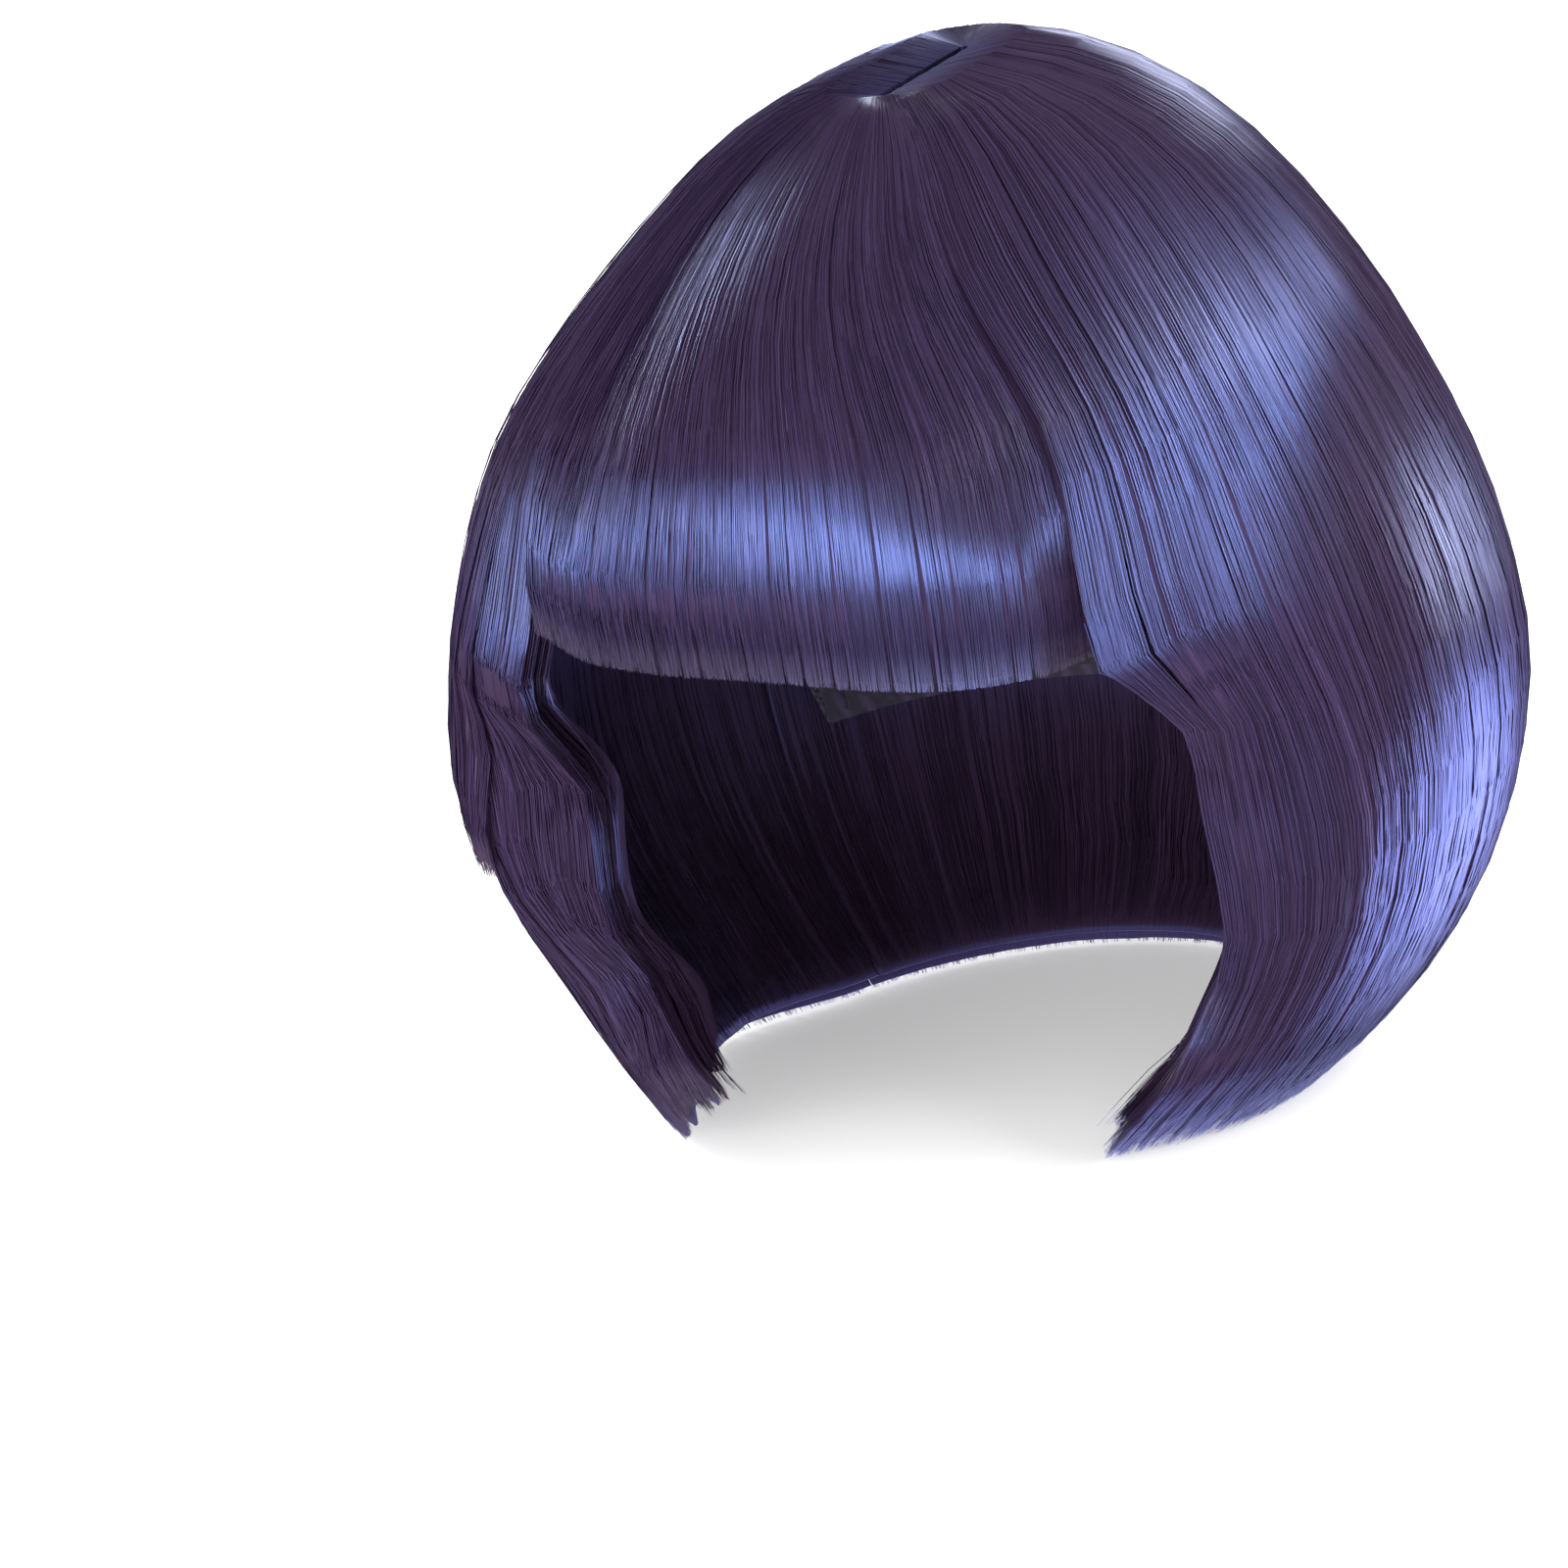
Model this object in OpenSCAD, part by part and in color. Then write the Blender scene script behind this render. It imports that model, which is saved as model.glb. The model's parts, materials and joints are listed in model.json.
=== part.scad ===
// Chin-length bob wig with a full fringe, sewn on a stretch net cap.
// Millimetres. +Z is up, -Y is towards the face and +X towards the wearer's left.
// The origin is the middle of the head at its widest level, where the cap grips it.

/* [Head] */
// Half width of the head, and radius of its round front and back
head_half_w = 74; // [70:0.5:78]
// Half of the straight stretch at the sides of the head
head_straight = 18.5; // [14:0.5:22]
// Height of the crown of the head above its widest level
head_top = 83; // [80:1:86]
// Depth at which the head's taper towards the neck would close
head_taper = 150; // [130:1:170]

/* [Cap cloth] */
// Air between the head and the inside of the strap tunnels
cap_air = 0.2; // [0.1:0.1:1]
// Thickness of the cloth of the strap tunnels
tunnel_t = 0.4; // [0.3:0.1:0.8]
// Room on each side of a strap in its tunnel
strap_play = 0.3; // [0.2:0.05:0.6]
// Thickness of an adjuster strap
strap_t = 0.7; // [0.4:0.1:1.2]
// Thickness of the hook patch on a strap
hook_t = 0.3; // [0.2:0.1:0.8]
// Air between the hooks and the loops while they slide
hook_air = 0.2; // [0.1:0.05:0.5]
// Thickness of the loop patch
loop_t = 0.4; // [0.2:0.1:0.8]
// Thickness of the tapes inside the net
band_t = 0.6; // [0.4:0.1:1.2]
// Thickness of the net
net_t = 0.6; // [0.4:0.1:1.2]
// Thickness of the ribbons on the net
ribbon_t = 0.5; // [0.3:0.1:1]
// Thickness of a sewn row of hair
weft_t = 2; // [1:0.1:3]
// Thickness of the skin-tone strip under the parting
skin_t = 1; // [0.6:0.1:1]

/* [Cap outline] */
// Height of the front hairline
hairline_z = 46; // [42:1:50]
// Where the hairline starts to fall towards the ears
temple_y = -62; // [-68:1:-56]
// Front edge of the ear tabs where they leave the cap
tab_front_y = -30; // [-36:1:-26]
// Back edge of the ear tabs where they leave the cap
tab_back_y = -2; // [-8:1:4]
// Lowest point of the ear tabs
tab_low_z = -28; // [-36:1:-20]
// Radius of the round end of an ear tab
tab_end_r = 8; // [6:0.5:10]
// Height of the cap's edge over the ears
ear_arch_z = 8; // [4:1:12]
// Where the cap's edge starts to fall behind the ears
ear_back_y = 34; // [30:1:38]
// Front end of the nape edge
nape_y = 50; // [46:1:54]
// Lowest edge of the cap, at the nape
nape_z = -62; // [-68:1:-60]
// Height of the tape along the nape edge
nape_band_h = 15; // [14:1:20]
// Width of the tape along the front hairline
front_band_w = 10; // [6:1:14]

/* [Ribbons and rows] */
// Width of the ribbons on the net
ribbon_w = 12; // [8:1:16]
// Distance of the side ribbons from the middle
side_ribbon_x = 40; // [34:1:46]
// Place of the ear-to-ear tape, front to back
ear_ribbon_y = 5; // [0:1:12]
// Height of a sewn row of hair
weft_h = 5; // [4:0.5:6]
// Lowest row of the nape
nape_row_z = -45; // [-46:1:-42]
// Step between the rows of the nape
nape_row_step = 15; // [12:1:16]
// Lower row at the ears
ear_row_z = 12; // [10:1:14]
// Upper row at the ears
temple_row_z = 26; // [24:1:30]
// Lowest row of the crown
crown_row_z = 47; // [46:0.5:48]
// Step between the rows of the crown
crown_row_step = 13; // [11:1:14]
// Where the fringe's own row ends at the sides
fringe_row_y = -44; // [-52:1:-40]

/* [Adjusters] */
// Width of an adjuster strap
strap_w = 8; // [6:0.5:9]
// Height of the straps' lower edge above the cap's nape edge
strap_rise = 2.5; // [2:0.5:4]
// Angle from the middle of the nape to the inner end of a strap
strap_from = 24; // [20:1:28]
// Angle that a strap covers
strap_span = 32; // [30:1:34]
// Angle that the hook patch covers
hook_span = 10; // [6:1:12]
// Angle at which a tunnel begins
tunnel_from = 38; // [36:1:40]
// Angle at which a tunnel ends
tunnel_to = 60; // [59:1:61]
// Angle to each side that the loop patch covers
loop_to = 35; // [30:1:37]

/* [Hair form] */
// How far the hair stands out from the head at the sides
side_volume = 38; // [30:1:46]
// How far the hair stands above the head at the crown
crown_loft = 16; // [15:0.5:20]
// Height of the widest level of the hair
waist_z = -38; // [-42:1:-34]
// Depth below the waist at which the curled-under hair would close
curl_depth = 105; // [101:1:110]
// How much further the hair reaches behind the head than in front of it
back_volume = 10; // [9:1:12]
// Extra fullness at the back, as a share of the half width
back_fill = 0.09; // [0.08:0.01:0.12]
// Roundness of the crown from the top
crown_round = 1.75; // [1.6:0.05:2]
// Roundness of the crown from the side
side_round = 1.95; // [1.8:0.05:2.2]
// How far the crown sits behind the middle
crown_lean = 22; // [20:1:23]
// How far the hair as a whole sits in front of the head's middle
hair_forward = 4; // [3:0.5:6]
// Extra fullness over the forehead, as a share of the half width
front_fill = 0.5; // [0.46:0.01:0.54]
// How much narrower the crown is than a round form, as a share of its width
crown_narrow = 0.045; // [0:0.005:0.05]
// Height of the hair's ends
hair_end_z = -122; // [-124:1:-112]

/* [Parting] */
// Front end of the parting
part_front_y = -18; // [-22:1:-14]
// Back end of the parting
part_back_y = 26; // [22:1:30]
// Half width of the parting
part_half_w = 3; // [2:0.5:5]
// How deep the hair dips at the parting
part_dip = 3.5; // [2:0.5:4]

/* [Hair layers] */
// Height below which the hair swings free of the cap
swing_z = 40; // [38:0.5:42]
// Gap between pieces of hair that move apart
swing_gap = 0.6; // [0.4:0.1:1]
// How deep the hair's roots sit in their rows
root_depth = 0.9; // [0.5:0.1:1.2]
// Thickness of the fringe
fringe_t = 10; // [7:0.5:12]
// Thickness of the outer layer of hair
outer_t = 9; // [7:0.5:11]
// Thickness of the inner layer of hair
under_t = 6; // [4:0.5:8]
// Height at which the inner layer begins at the sides
under_top_z = 12; // [8:1:16]
// Height at which the inner layer begins at the back
nape_top_z = 0; // [-6:1:6]
// How much higher the inner layer ends
under_rise = 4; // [2:1:8]

/* [Cut of the hair] */
// Height of the fringe's lower edge at its middle
fringe_z = -3; // [-8:1:2]
// How much further the fringe hangs beside its middle, on the wearer's left
fringe_sag = 4; // [0:1:6]
// How much the fringe rises at its right end
fringe_rise = 3; // [0:1:5]
// Angle from straight ahead where the fringe meets the left side hair
left_seam = 39.5; // [37:0.5:42]
// Angle from straight ahead where the fringe meets the right side hair
right_seam = 36; // [34:0.5:39]
// Angle from straight ahead where the side hair meets the back hair
back_seam = 125; // [118:1:132]
// Height of the hair's ends beside the face on the wearer's right
right_front_z = -102; // [-108:1:-96]
// How much less the hair's ends curl under on the wearer's right
right_flare = 11; // [0:1:14]
// Height of the short layer's ends on the wearer's right
right_step_z = -64; // [-72:1:-56]
// How far the short layer's ends stand out
right_step_t = 3.3; // [2:0.1:4]
// How much further back the inner layer's front edge is, as an angle
under_back = 4; // [2:0.5:6]
// Thickness of the side hair's outer layer at its front edge
edge_t = 3; // [2:0.5:5]
// Thickness of the back hair where it leaves the cap
back_root_t = 4.5; // [3:0.5:6]

/* [Hidden] */

// Colours
hair_colour = "#4a3a66";
under_colour = "#372a48";
net_colour = "#2a2432";
tape_colour = "#3a3142";
skin_colour = "#b9a596";

// Distance of each cloth layer from the head, from the inside out
tunnel_d = cap_air;
strap_d = tunnel_d + tunnel_t + strap_play;
hook_d = strap_d + strap_t;
loop_d = hook_d + hook_t + hook_air;
band_d = loop_d + loop_t;
net_d = band_d + band_t;
ribbon_d = net_d + net_t;
weft_d = ribbon_d + ribbon_t;
weft_out_d = weft_d + weft_t;
root_d = weft_out_d - root_depth;

// Hair form
hair_half_w = head_half_w + side_volume;
hair_top_z = head_top + crown_loft;
close_z = waist_z - curl_depth;

// Share of the hair's half width within which the strands gather into the parting
gather_share = 0.75;
// Height at which the crown starts to lean back, and the height over which it does
lean_from = 20;
lean_over = 75;
// The same for the fuller front, how sharply front and back gather, and for the narrower crown
fill_from = 5;
fill_over = 80;
fill_power = 2.6;
narrow_from = 30;
narrow_over = 50;

// How the front edges of the side hair hug the face: the share of the radius that they give up,
// the angle from straight ahead within which they do and the angle over which it fades, the drop
// below the fringe where it starts and the height over which it grows, and the same for its end
hug_share = 0.2;
hug_within = 68;
hug_turn = 24;
hug_start = 6;
hug_over = 36;
let_go_drop = 42;
let_go_over = 26;
let_go_share = 0.8;

// Front edge of the side hair: angle from straight ahead, from the fringe's ends to the hair's
// ends, by share of that height
left_edge = [[0.07, 46], [0.24, 50], [0.4, 51.5], [0.63, 53.6], [0.71, 51], [0.84, 44], [1, 37]];
right_edge = [[0.15, 41], [0.27, 45], [0.4, 47], [0.57, 50], [0.65, 49], [0.75, 33], [0.82, 21], [1, 21]];
// Height over which the inner layer's front edge turns back
back_over = 8;

// The side hair thins to its front edge within this share of its width
edge_width = 0.12;
// Height over which the back hair gets its full thickness
back_root_over = 34;

// Share of the right side hair's width over which its ends fall from beside the face
front_fall = 0.25;
// Where the ends on the right start to flare, the height over which they do, and the angles from
// straight ahead within which they flare and over which that fades
flare_from = -88;
flare_over = 34;
flare_within = 118;
flare_turn = 30;

// Short layer on the right: height of its roots, how far they stand out and how deep they sit in
// the layer below, and the angles of its front edge at the roots and at the ends and of its back
short_top_z = 4;
short_root_t = 0.6;
short_depth = 0.5;
short_front = [50, 62];
short_back = 112;

// Sampling of the curved sheets
dome_step = 6;
taper_step = 10;
dome_depth = nape_z - 2 * taper_step;
reach = 2 * head_half_w;
hair_rows = 14;
hair_cols = 14;
side_rows = 20;
side_cols = 20;
far = 400;

function mix(a, b, u) = a + (b - a) * u;
function smooth(u) = let (c = max(0, min(1, u))) c * c * (3 - 2 * c);
function reversed(list) = [for (k = [len(list) - 1 : -1 : 0]) list[k]];

// ---- the head's form, at a distance d from the skin ----

// Half profile of the head: height and radius, from the nape to the crown
function wall(d) = concat(
    [for (z = [dome_depth : taper_step : -taper_step])
        [z, (head_half_w + d) * sqrt(1 - pow(z / head_taper, 2))]],
    [for (b = [0 : dome_step : 90]) [(head_top + d) * sin(b), (head_half_w + d) * cos(b)]]
);

// The points of that profile between two heights
function wall_points(d, low, high) = concat(
    [[lookup(low, wall(d)), low]],
    [for (p = wall(d)) if (p[0] > low + 0.01 && p[0] < high - 0.01) [p[1], p[0]]],
    [[lookup(high, wall(d)), high]]
);

// Section of a cloth between two distances from the head and two heights
module cloth_section(d_in, d_out, low, high)
{
    polygon(concat(wall_points(d_out, low, high), reversed(wall_points(d_in, low, high))));
}

// Section of a cloth that goes on over the crown
module dome_section(d_in, d_out, low)
{
    polygon(concat(
        wall_points(d_out, low, head_top + d_out),
        reversed(wall_points(d_in, low, head_top + d_in))
    ));
}

// Lays a section of cloth round the whole head
module round_head()
{
    translate([0, head_straight, 0])
        rotate_extrude(angle = 180, $fn = 96)
            children();
    translate([0, -head_straight, 0])
        rotate([0, 0, 180])
            rotate_extrude(angle = 180, $fn = 96)
                children();
    rotate([90, 0, 0])
        linear_extrude(height = 2 * head_straight, center = true)
        {
            children();
            mirror([1, 0]) children();
        }
}

// A cloth dome over the whole head
module dome(d_in, d_out, low = dome_depth)
{
    round_head() dome_section(d_in, d_out, low);
}

// A closed ring of cloth between two heights
module ring_of_cloth(d_in, d_out, low, high)
{
    round_head() cloth_section(d_in, d_out, low, high);
}

// A side view outline, as [y, z] points, cut right through the width
module side_outline(points, width = far)
{
    rotate([90, 0, 90])
        linear_extrude(height = width, center = true)
            polygon(points);
}

// Everything behind a place on the Y axis
module behind(y)
{
    translate([-far / 2, y, -far / 2]) cube([far, far, far]);
}

// ---- the cap ----

temple_drop = [mix(temple_y, tab_front_y, 0.55), mix(hairline_z, ear_arch_z, 0.4)];
cap_outline = [
    [-reach, hairline_z],
    [temple_y, hairline_z],
    temple_drop,
    [tab_front_y, ear_arch_z],
    [ear_back_y, ear_arch_z],
    [mix(ear_back_y, nape_y, 0.5), mix(ear_arch_z, nape_z, 0.4)],
    [nape_y, nape_z],
    [reach, nape_z],
    [reach, reach],
    [-reach, reach]
];

module crown_net()
{
    color(net_colour)
        intersection()
        {
            dome(net_d, ribbon_d);
            side_outline(cap_outline);
        }
}

module front_band()
{
    w = front_band_w;
    color(tape_colour)
        intersection()
        {
            ring_of_cloth(band_d, net_d, ear_arch_z, hairline_z + w);
            side_outline([
                [-reach, hairline_z],
                [temple_y, hairline_z],
                temple_drop,
                [tab_front_y, ear_arch_z],
                [tab_front_y + w, ear_arch_z],
                temple_drop + [w, w / 2],
                [temple_y + w / 2, hairline_z + w],
                [-reach, hairline_z + w]
            ]);
        }
}

// Outline of an ear tab: it narrows to a round end
module ear_tab_outline()
{
    end_y = mix(tab_front_y, tab_back_y, 0.45);
    end_z = tab_low_z + tab_end_r;
    difference()
    {
        hull()
        {
            translate([end_y, end_z]) circle(r = tab_end_r, $fn = 32);
            translate([tab_front_y, ear_arch_z]) square([tab_back_y - tab_front_y, 1]);
        }
        translate([-far / 2, ear_arch_z]) square([far, far]);
    }
}

module left_ear_tab()
{
    color(tape_colour)
        intersection()
        {
            ring_of_cloth(band_d, ribbon_d, tab_low_z - 1, ear_arch_z);
            rotate([90, 0, 90])
                linear_extrude(height = far)
                    ear_tab_outline();
        }
}

module right_ear_tab()
{
    mirror([1, 0, 0]) left_ear_tab();
}

module nape_band()
{
    high = nape_z + nape_band_h;
    color(tape_colour)
        intersection()
        {
            ring_of_cloth(band_d, net_d, nape_z, high);
            behind(nape_y);
        }
}

// A ribbon along the head, between two planes across the width
module lengthwise_ribbon(x)
{
    intersection()
    {
        dome(ribbon_d, weft_d);
        side_outline(cap_outline);
        translate([x - ribbon_w / 2, -far / 2, -far / 2]) cube([ribbon_w, far, far]);
    }
}

module centre_ribbon()
{
    color(tape_colour) lengthwise_ribbon(0);
}

module left_ribbon()
{
    color(tape_colour) lengthwise_ribbon(side_ribbon_x);
}

module right_ribbon()
{
    color(tape_colour) lengthwise_ribbon(-side_ribbon_x);
}

module ear_to_ear_ribbon()
{
    color(tape_colour)
        intersection()
        {
            dome(band_d, net_d, ear_arch_z);
            translate([-far / 2, ear_ribbon_y - ribbon_w / 2, ear_arch_z]) cube([far, ribbon_w, far]);
        }
}

// Skin-tone strip on the centre ribbon, a little larger than the parting
module skin_part()
{
    margin = 2;
    half_w = part_half_w + margin;
    color(skin_colour)
        intersection()
        {
            dome(weft_d, weft_d + skin_t, head_top / 2);
            translate([-half_w, part_front_y - margin, 0])
                cube([2 * half_w, part_back_y - part_front_y + 2 * margin, far]);
        }
}

// ---- the sewn rows of hair root ----

// Each row: its lowest height, and the place on the Y axis behind which it runs
weft_rows = concat(
    [for (n = [0 : 3]) [nape_row_z + n * nape_row_step, nape_y - 4 * n]],
    [[ear_row_z, tab_front_y + ribbon_w], [temple_row_z, tab_front_y]],
    [[crown_row_z, fringe_row_y]],
    [for (n = [1 : 2]) [crown_row_z + n * crown_row_step, -far / 2]]
);

module weft_track(n)
{
    row = weft_rows[n - 1];
    color(under_colour)
        intersection()
        {
            ring_of_cloth(weft_d, weft_out_d, row[0], row[0] + weft_h);
            behind(row[1]);
        }
}

// The fringe's own row runs round the front, level with the crown's lowest row
module fringe_weft_track()
{
    color(under_colour)
        difference()
        {
            ring_of_cloth(weft_d, weft_out_d, crown_row_z, crown_row_z + weft_h);
            behind(fringe_row_y);
        }
}

// ---- the adjusters at the nape ----

strap_low = nape_z + strap_rise;
strap_high = strap_low + strap_w;

// Turns a section of cloth round the back of the head, between two angles from the nape's middle
module nape_arc(from, to)
{
    translate([0, head_straight, 0])
        rotate([0, 0, 90 - to])
            rotate_extrude(angle = to - from, $fn = 180)
                children();
}

module left_adjuster_strap()
{
    color("#241e2b")
        nape_arc(strap_from, strap_from + strap_span)
            cloth_section(strap_d, hook_d, strap_low, strap_high);
}

module left_hook_patch()
{
    edge = 0.5;
    color("#15121a")
        nape_arc(strap_from, strap_from + hook_span)
            cloth_section(hook_d, hook_d + hook_t, strap_low + edge, strap_high - edge);
}

// A tunnel of cloth, closed by the nape band on its outer side
module left_strap_tunnel()
{
    low = strap_low - strap_play;
    high = strap_high + strap_play;
    color(tape_colour)
        nape_arc(tunnel_from, tunnel_to)
            difference()
            {
                cloth_section(tunnel_d, band_d, low - tunnel_t, high + tunnel_t);
                cloth_section(tunnel_d + tunnel_t, band_d + 1, low, high);
            }
}

module right_adjuster_strap()
{
    mirror([1, 0, 0]) left_adjuster_strap();
}

module right_hook_patch()
{
    mirror([1, 0, 0]) left_hook_patch();
}

module right_strap_tunnel()
{
    mirror([1, 0, 0]) left_strap_tunnel();
}

module loop_patch()
{
    color("#15121a")
        nape_arc(-loop_to, loop_to)
            cloth_section(loop_d, band_d, strap_low, strap_high);
}

// ---- the hair's form ----

// Half width of the hair at a height, as a share of its widest
function share(z) = z >= waist_z
    ? pow(1 - pow((z - waist_z) / (hair_top_z - waist_z), crown_round), 1 / side_round)
    : sqrt(1 - pow((waist_z - z) / curl_depth, 2));

// A level of the hair: the radius, the centres of its round front and of its round back,
// and the shares by which its front and its back are fuller
function level(z) =
    let (s = share(z))
    let (gather = pow(max(0, 1 - s / gather_share), 1.5))
    let (lean = crown_lean * smooth((z - lean_from) / lean_over) - hair_forward)
    let (narrow = 1 - crown_narrow * smooth((z - narrow_from) / narrow_over))
    [
        max(part_half_w, hair_half_w * s * narrow),
        mix(lean, part_front_y, gather),
        mix(lean + back_volume * s, part_back_y, gather),
        front_fill * smooth((z - fill_from) / fill_over),
        back_fill
    ];

// How much further forward a level's fuller front or back is, at an angle t from straight ahead
function fuller(ring, t, r) =
    cos(t) > 0
        ? ring[3] * r * pow(cos(t), fill_power)
        : -ring[4] * r * pow(-cos(t), fill_power);

// The point of a level at an angle t from straight ahead, pulled in by a depth
function on_level(ring, t, z, depth = 0) =
    let (r = ring[0] - depth)
    let (centre_y = cos(t) > 0 ? ring[1] : ring[2])
    [r * sin(t), centre_y - r * cos(t) - fuller(ring, t, r), z];

// The angle at which a level crosses an upright plane, which stands at an angle from straight
// ahead and passes the Z axis at a distance, counted towards the back; the turn between the
// plane's angle and the level's is found in steps
function seam(z, angle, beside, depth, turn = 0, steps = 6) =
    let (ring = level(z))
    let (r = ring[0] - depth)
    let (centre_y = angle < 90 ? ring[1] : ring[2])
    let (off = beside + sin(angle) * (fuller(ring, angle + turn, r) - centre_y))
    steps == 0 ? angle + turn : seam(z, angle, beside, depth, asin(off / r), steps - 1);

// A closed solid between two sheets; each is a function of the row and column, from 0 to 1
module slab(rows, cols, outer, inner)
{
    n = cols + 1;
    layer = (rows + 1) * n;
    points = concat(
        [for (k = [0 : rows], j = [0 : cols]) outer(k / rows, j / cols)],
        [for (k = [0 : rows], j = [0 : cols]) inner(k / rows, j / cols)]
    );
    cells = [for (k = [0 : rows - 1], j = [0 : cols - 1]) k * n + j];
    outer_faces = [for (a = cells, f = [[a, a + 1, a + n + 1], [a, a + n + 1, a + n]]) f];
    inner_faces = [for (f = outer_faces) [for (i = reversed(f)) i + layer]];
    top = [for (a = [0 : cols - 1], f = [[a + layer, a + layer + 1, a + 1], [a + layer, a + 1, a]]) f];
    last = rows * n;
    bottom = [for (f = top) [for (i = reversed(f)) i + last]];
    start_side = [for (k = [0 : rows - 1]) let (a = k * n)
        for (f = [[a + layer, a, a + n], [a + layer, a + n, a + n + layer]]) f];
    end_side = [for (f = start_side) [for (i = reversed(f)) i + cols]];
    polyhedron(
        points,
        concat(outer_faces, inner_faces, top, bottom, start_side, end_side),
        convexity = 8
    );
}

// ---- hair that lies on the cap ----

crown_span = hair_top_z - waist_z;
crown_to = acos(pow((swing_z - waist_z) / crown_span, crown_round / 2));
crown_from = asin(pow(part_half_w / hair_half_w, side_round / 2));
root_to = asin(swing_z / (head_top + root_d));
root_from = acos(part_half_w / (head_half_w + root_d));

function crown_outer(u, t) =
    let (z = waist_z + crown_span * pow(cos(mix(crown_from, crown_to, u)), 2 / crown_round))
    let (ring = level(z))
    let (dip = part_dip * (1 - smooth((ring[0] / hair_half_w - part_half_w / hair_half_w) * 10)))
    on_level(ring, t, z - dip);

function crown_inner(u, t) =
    let (b = mix(root_from, root_to, u))
    let (ring = [(head_half_w + root_d) * cos(b), -head_straight, head_straight, 0, 0])
    on_level(ring, t, (head_top + root_d) * sin(b));

module crown_hair(from, to)
{
    slab(
        hair_rows, hair_cols,
        function (u, v) crown_outer(u, mix(from, to, v)),
        function (u, v) crown_inner(u, mix(from, to, v))
    );
}

crown_front_to = 50;
crown_side_to = 130;

module crown_hair_front()
{
    color(hair_colour) crown_hair(-crown_front_to, crown_front_to);
}

module crown_hair_left()
{
    color(hair_colour) crown_hair(crown_front_to, crown_side_to);
}

module crown_hair_right()
{
    color(hair_colour) crown_hair(-crown_side_to, -crown_front_to);
}

module crown_hair_back()
{
    color(hair_colour) crown_hair(crown_side_to, 360 - crown_side_to);
}

// ---- hair that swings ----

free_top_z = swing_z - swing_gap;

// The fringe's lower edge, from its right end to its left end
function fringe_end(v) =
    let (sag = fringe_sag * smooth(1 - abs(v - 0.8) / 0.4))
    let (rise = fringe_rise * smooth(1 - v / 0.15))
    fringe_z - sag + rise;

function fringe_sheet(u, v, depth) =
    let (z = mix(free_top_z, fringe_end(v), u))
    let (from = -seam(z, right_seam, -swing_gap / 2, depth))
    let (to = seam(z, left_seam, -swing_gap / 2, depth))
    on_level(level(z), mix(from, to, v), z, depth);

module fringe_hair()
{
    color(hair_colour)
        slab(
            8, 16,
            function (u, v) fringe_sheet(u, v, 0),
            function (u, v) fringe_sheet(u, v, fringe_t)
        );
}

// Share of its radius that the side hair keeps where it hugs the face
function hug(z, t) =
    let (below = smooth((fringe_z - hug_start - z) / hug_over))
    let (near_face = smooth((hug_within - abs(t)) / hug_turn))
    let (let_go = 1 - let_go_share * smooth((waist_z - let_go_drop - z) / let_go_over))
    1 - hug_share * below * near_face * let_go;

// Angle of the side hair's front edge: along the fringe, and then along its own cut
function edge_angle(z, angle, edge, depth) =
    let (seam_low = fringe_z - fringe_sag)
    let (along_seam = seam(max(z, seam_low), angle, swing_gap / 2, depth))
    let (below = (seam_low - z) / (seam_low - hair_end_z))
    below <= 0 ? along_seam : lookup(below, concat([[0, along_seam]], edge));

// How far the ends stand out on the wearer's right
function flare(z, t) =
    let (low = max(0, min(1, (flare_from - z) / flare_over)))
    right_flare * pow(low, 2) * smooth((flare_within - t) / flare_turn);

// A point of the side hair, at an angle t from straight ahead
function on_side(side, t, z, depth) =
    let (ring = level(z))
    let (hugging = [ring[0] * hug(z, t), ring[1], ring[2], ring[3], ring[4]])
    on_level(hugging, side * t, z, side > 0 ? depth : depth - flare(z, t));

function side_sheet(side, z, v, angle, edge, depth, retreat) =
    let (back = retreat * smooth((fringe_z - hug_start - z) / back_over))
    let (from = edge_angle(z, angle, edge, depth) + back)
    let (to = seam(z, back_seam, -swing_gap / 2, depth))
    on_side(side, mix(from, to, v), z, depth);

// A layer of side hair; end_of gives the height of its ends across its width, from its front
// edge, where it has the thickness edge, to the back seam
module side_layer(side, angle, cut, top, end_of, depth, thickness, edge, retreat = 0)
{
    first = side > 0 ? 0 : 1;
    slab(
        side_rows, side_cols,
        function (u, v) let (w = abs(v - first))
            side_sheet(side, mix(top, end_of(w), u), w, angle, cut, depth, retreat),
        function (u, v) let (w = abs(v - first)) let (t = mix(edge, thickness, smooth(w / edge_width)))
            side_sheet(side, mix(top, end_of(w), u), w, angle, cut, depth + t, retreat)
    );
}

module left_side_hair()
{
    color(hair_colour)
        side_layer(
            1, left_seam, left_edge, free_top_z, function (w) hair_end_z,
            0, outer_t, edge_t
        );
}

module left_under_hair()
{
    end_z = hair_end_z + under_rise;
    color(under_colour)
        side_layer(
            1, left_seam, left_edge, under_top_z, function (w) end_z,
            outer_t, under_t, under_t, under_back
        );
}

function right_end(w) = mix(right_front_z, hair_end_z, smooth(w / front_fall));

module right_side_hair()
{
    color(hair_colour)
        side_layer(
            -1, right_seam, right_edge, free_top_z, function (w) right_end(w),
            0, outer_t, edge_t
        );
}

module right_under_hair()
{
    color(under_colour)
        side_layer(
            -1, right_seam, right_edge, under_top_z, function (w) right_end(w) + under_rise,
            outer_t, under_t, under_t, under_back
        );
}

function short_sheet(u, v, depth) =
    let (front = mix(short_front[0], short_front[1], u))
    on_side(-1, mix(short_back, front, v), mix(short_top_z, right_step_z, u), depth);

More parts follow.
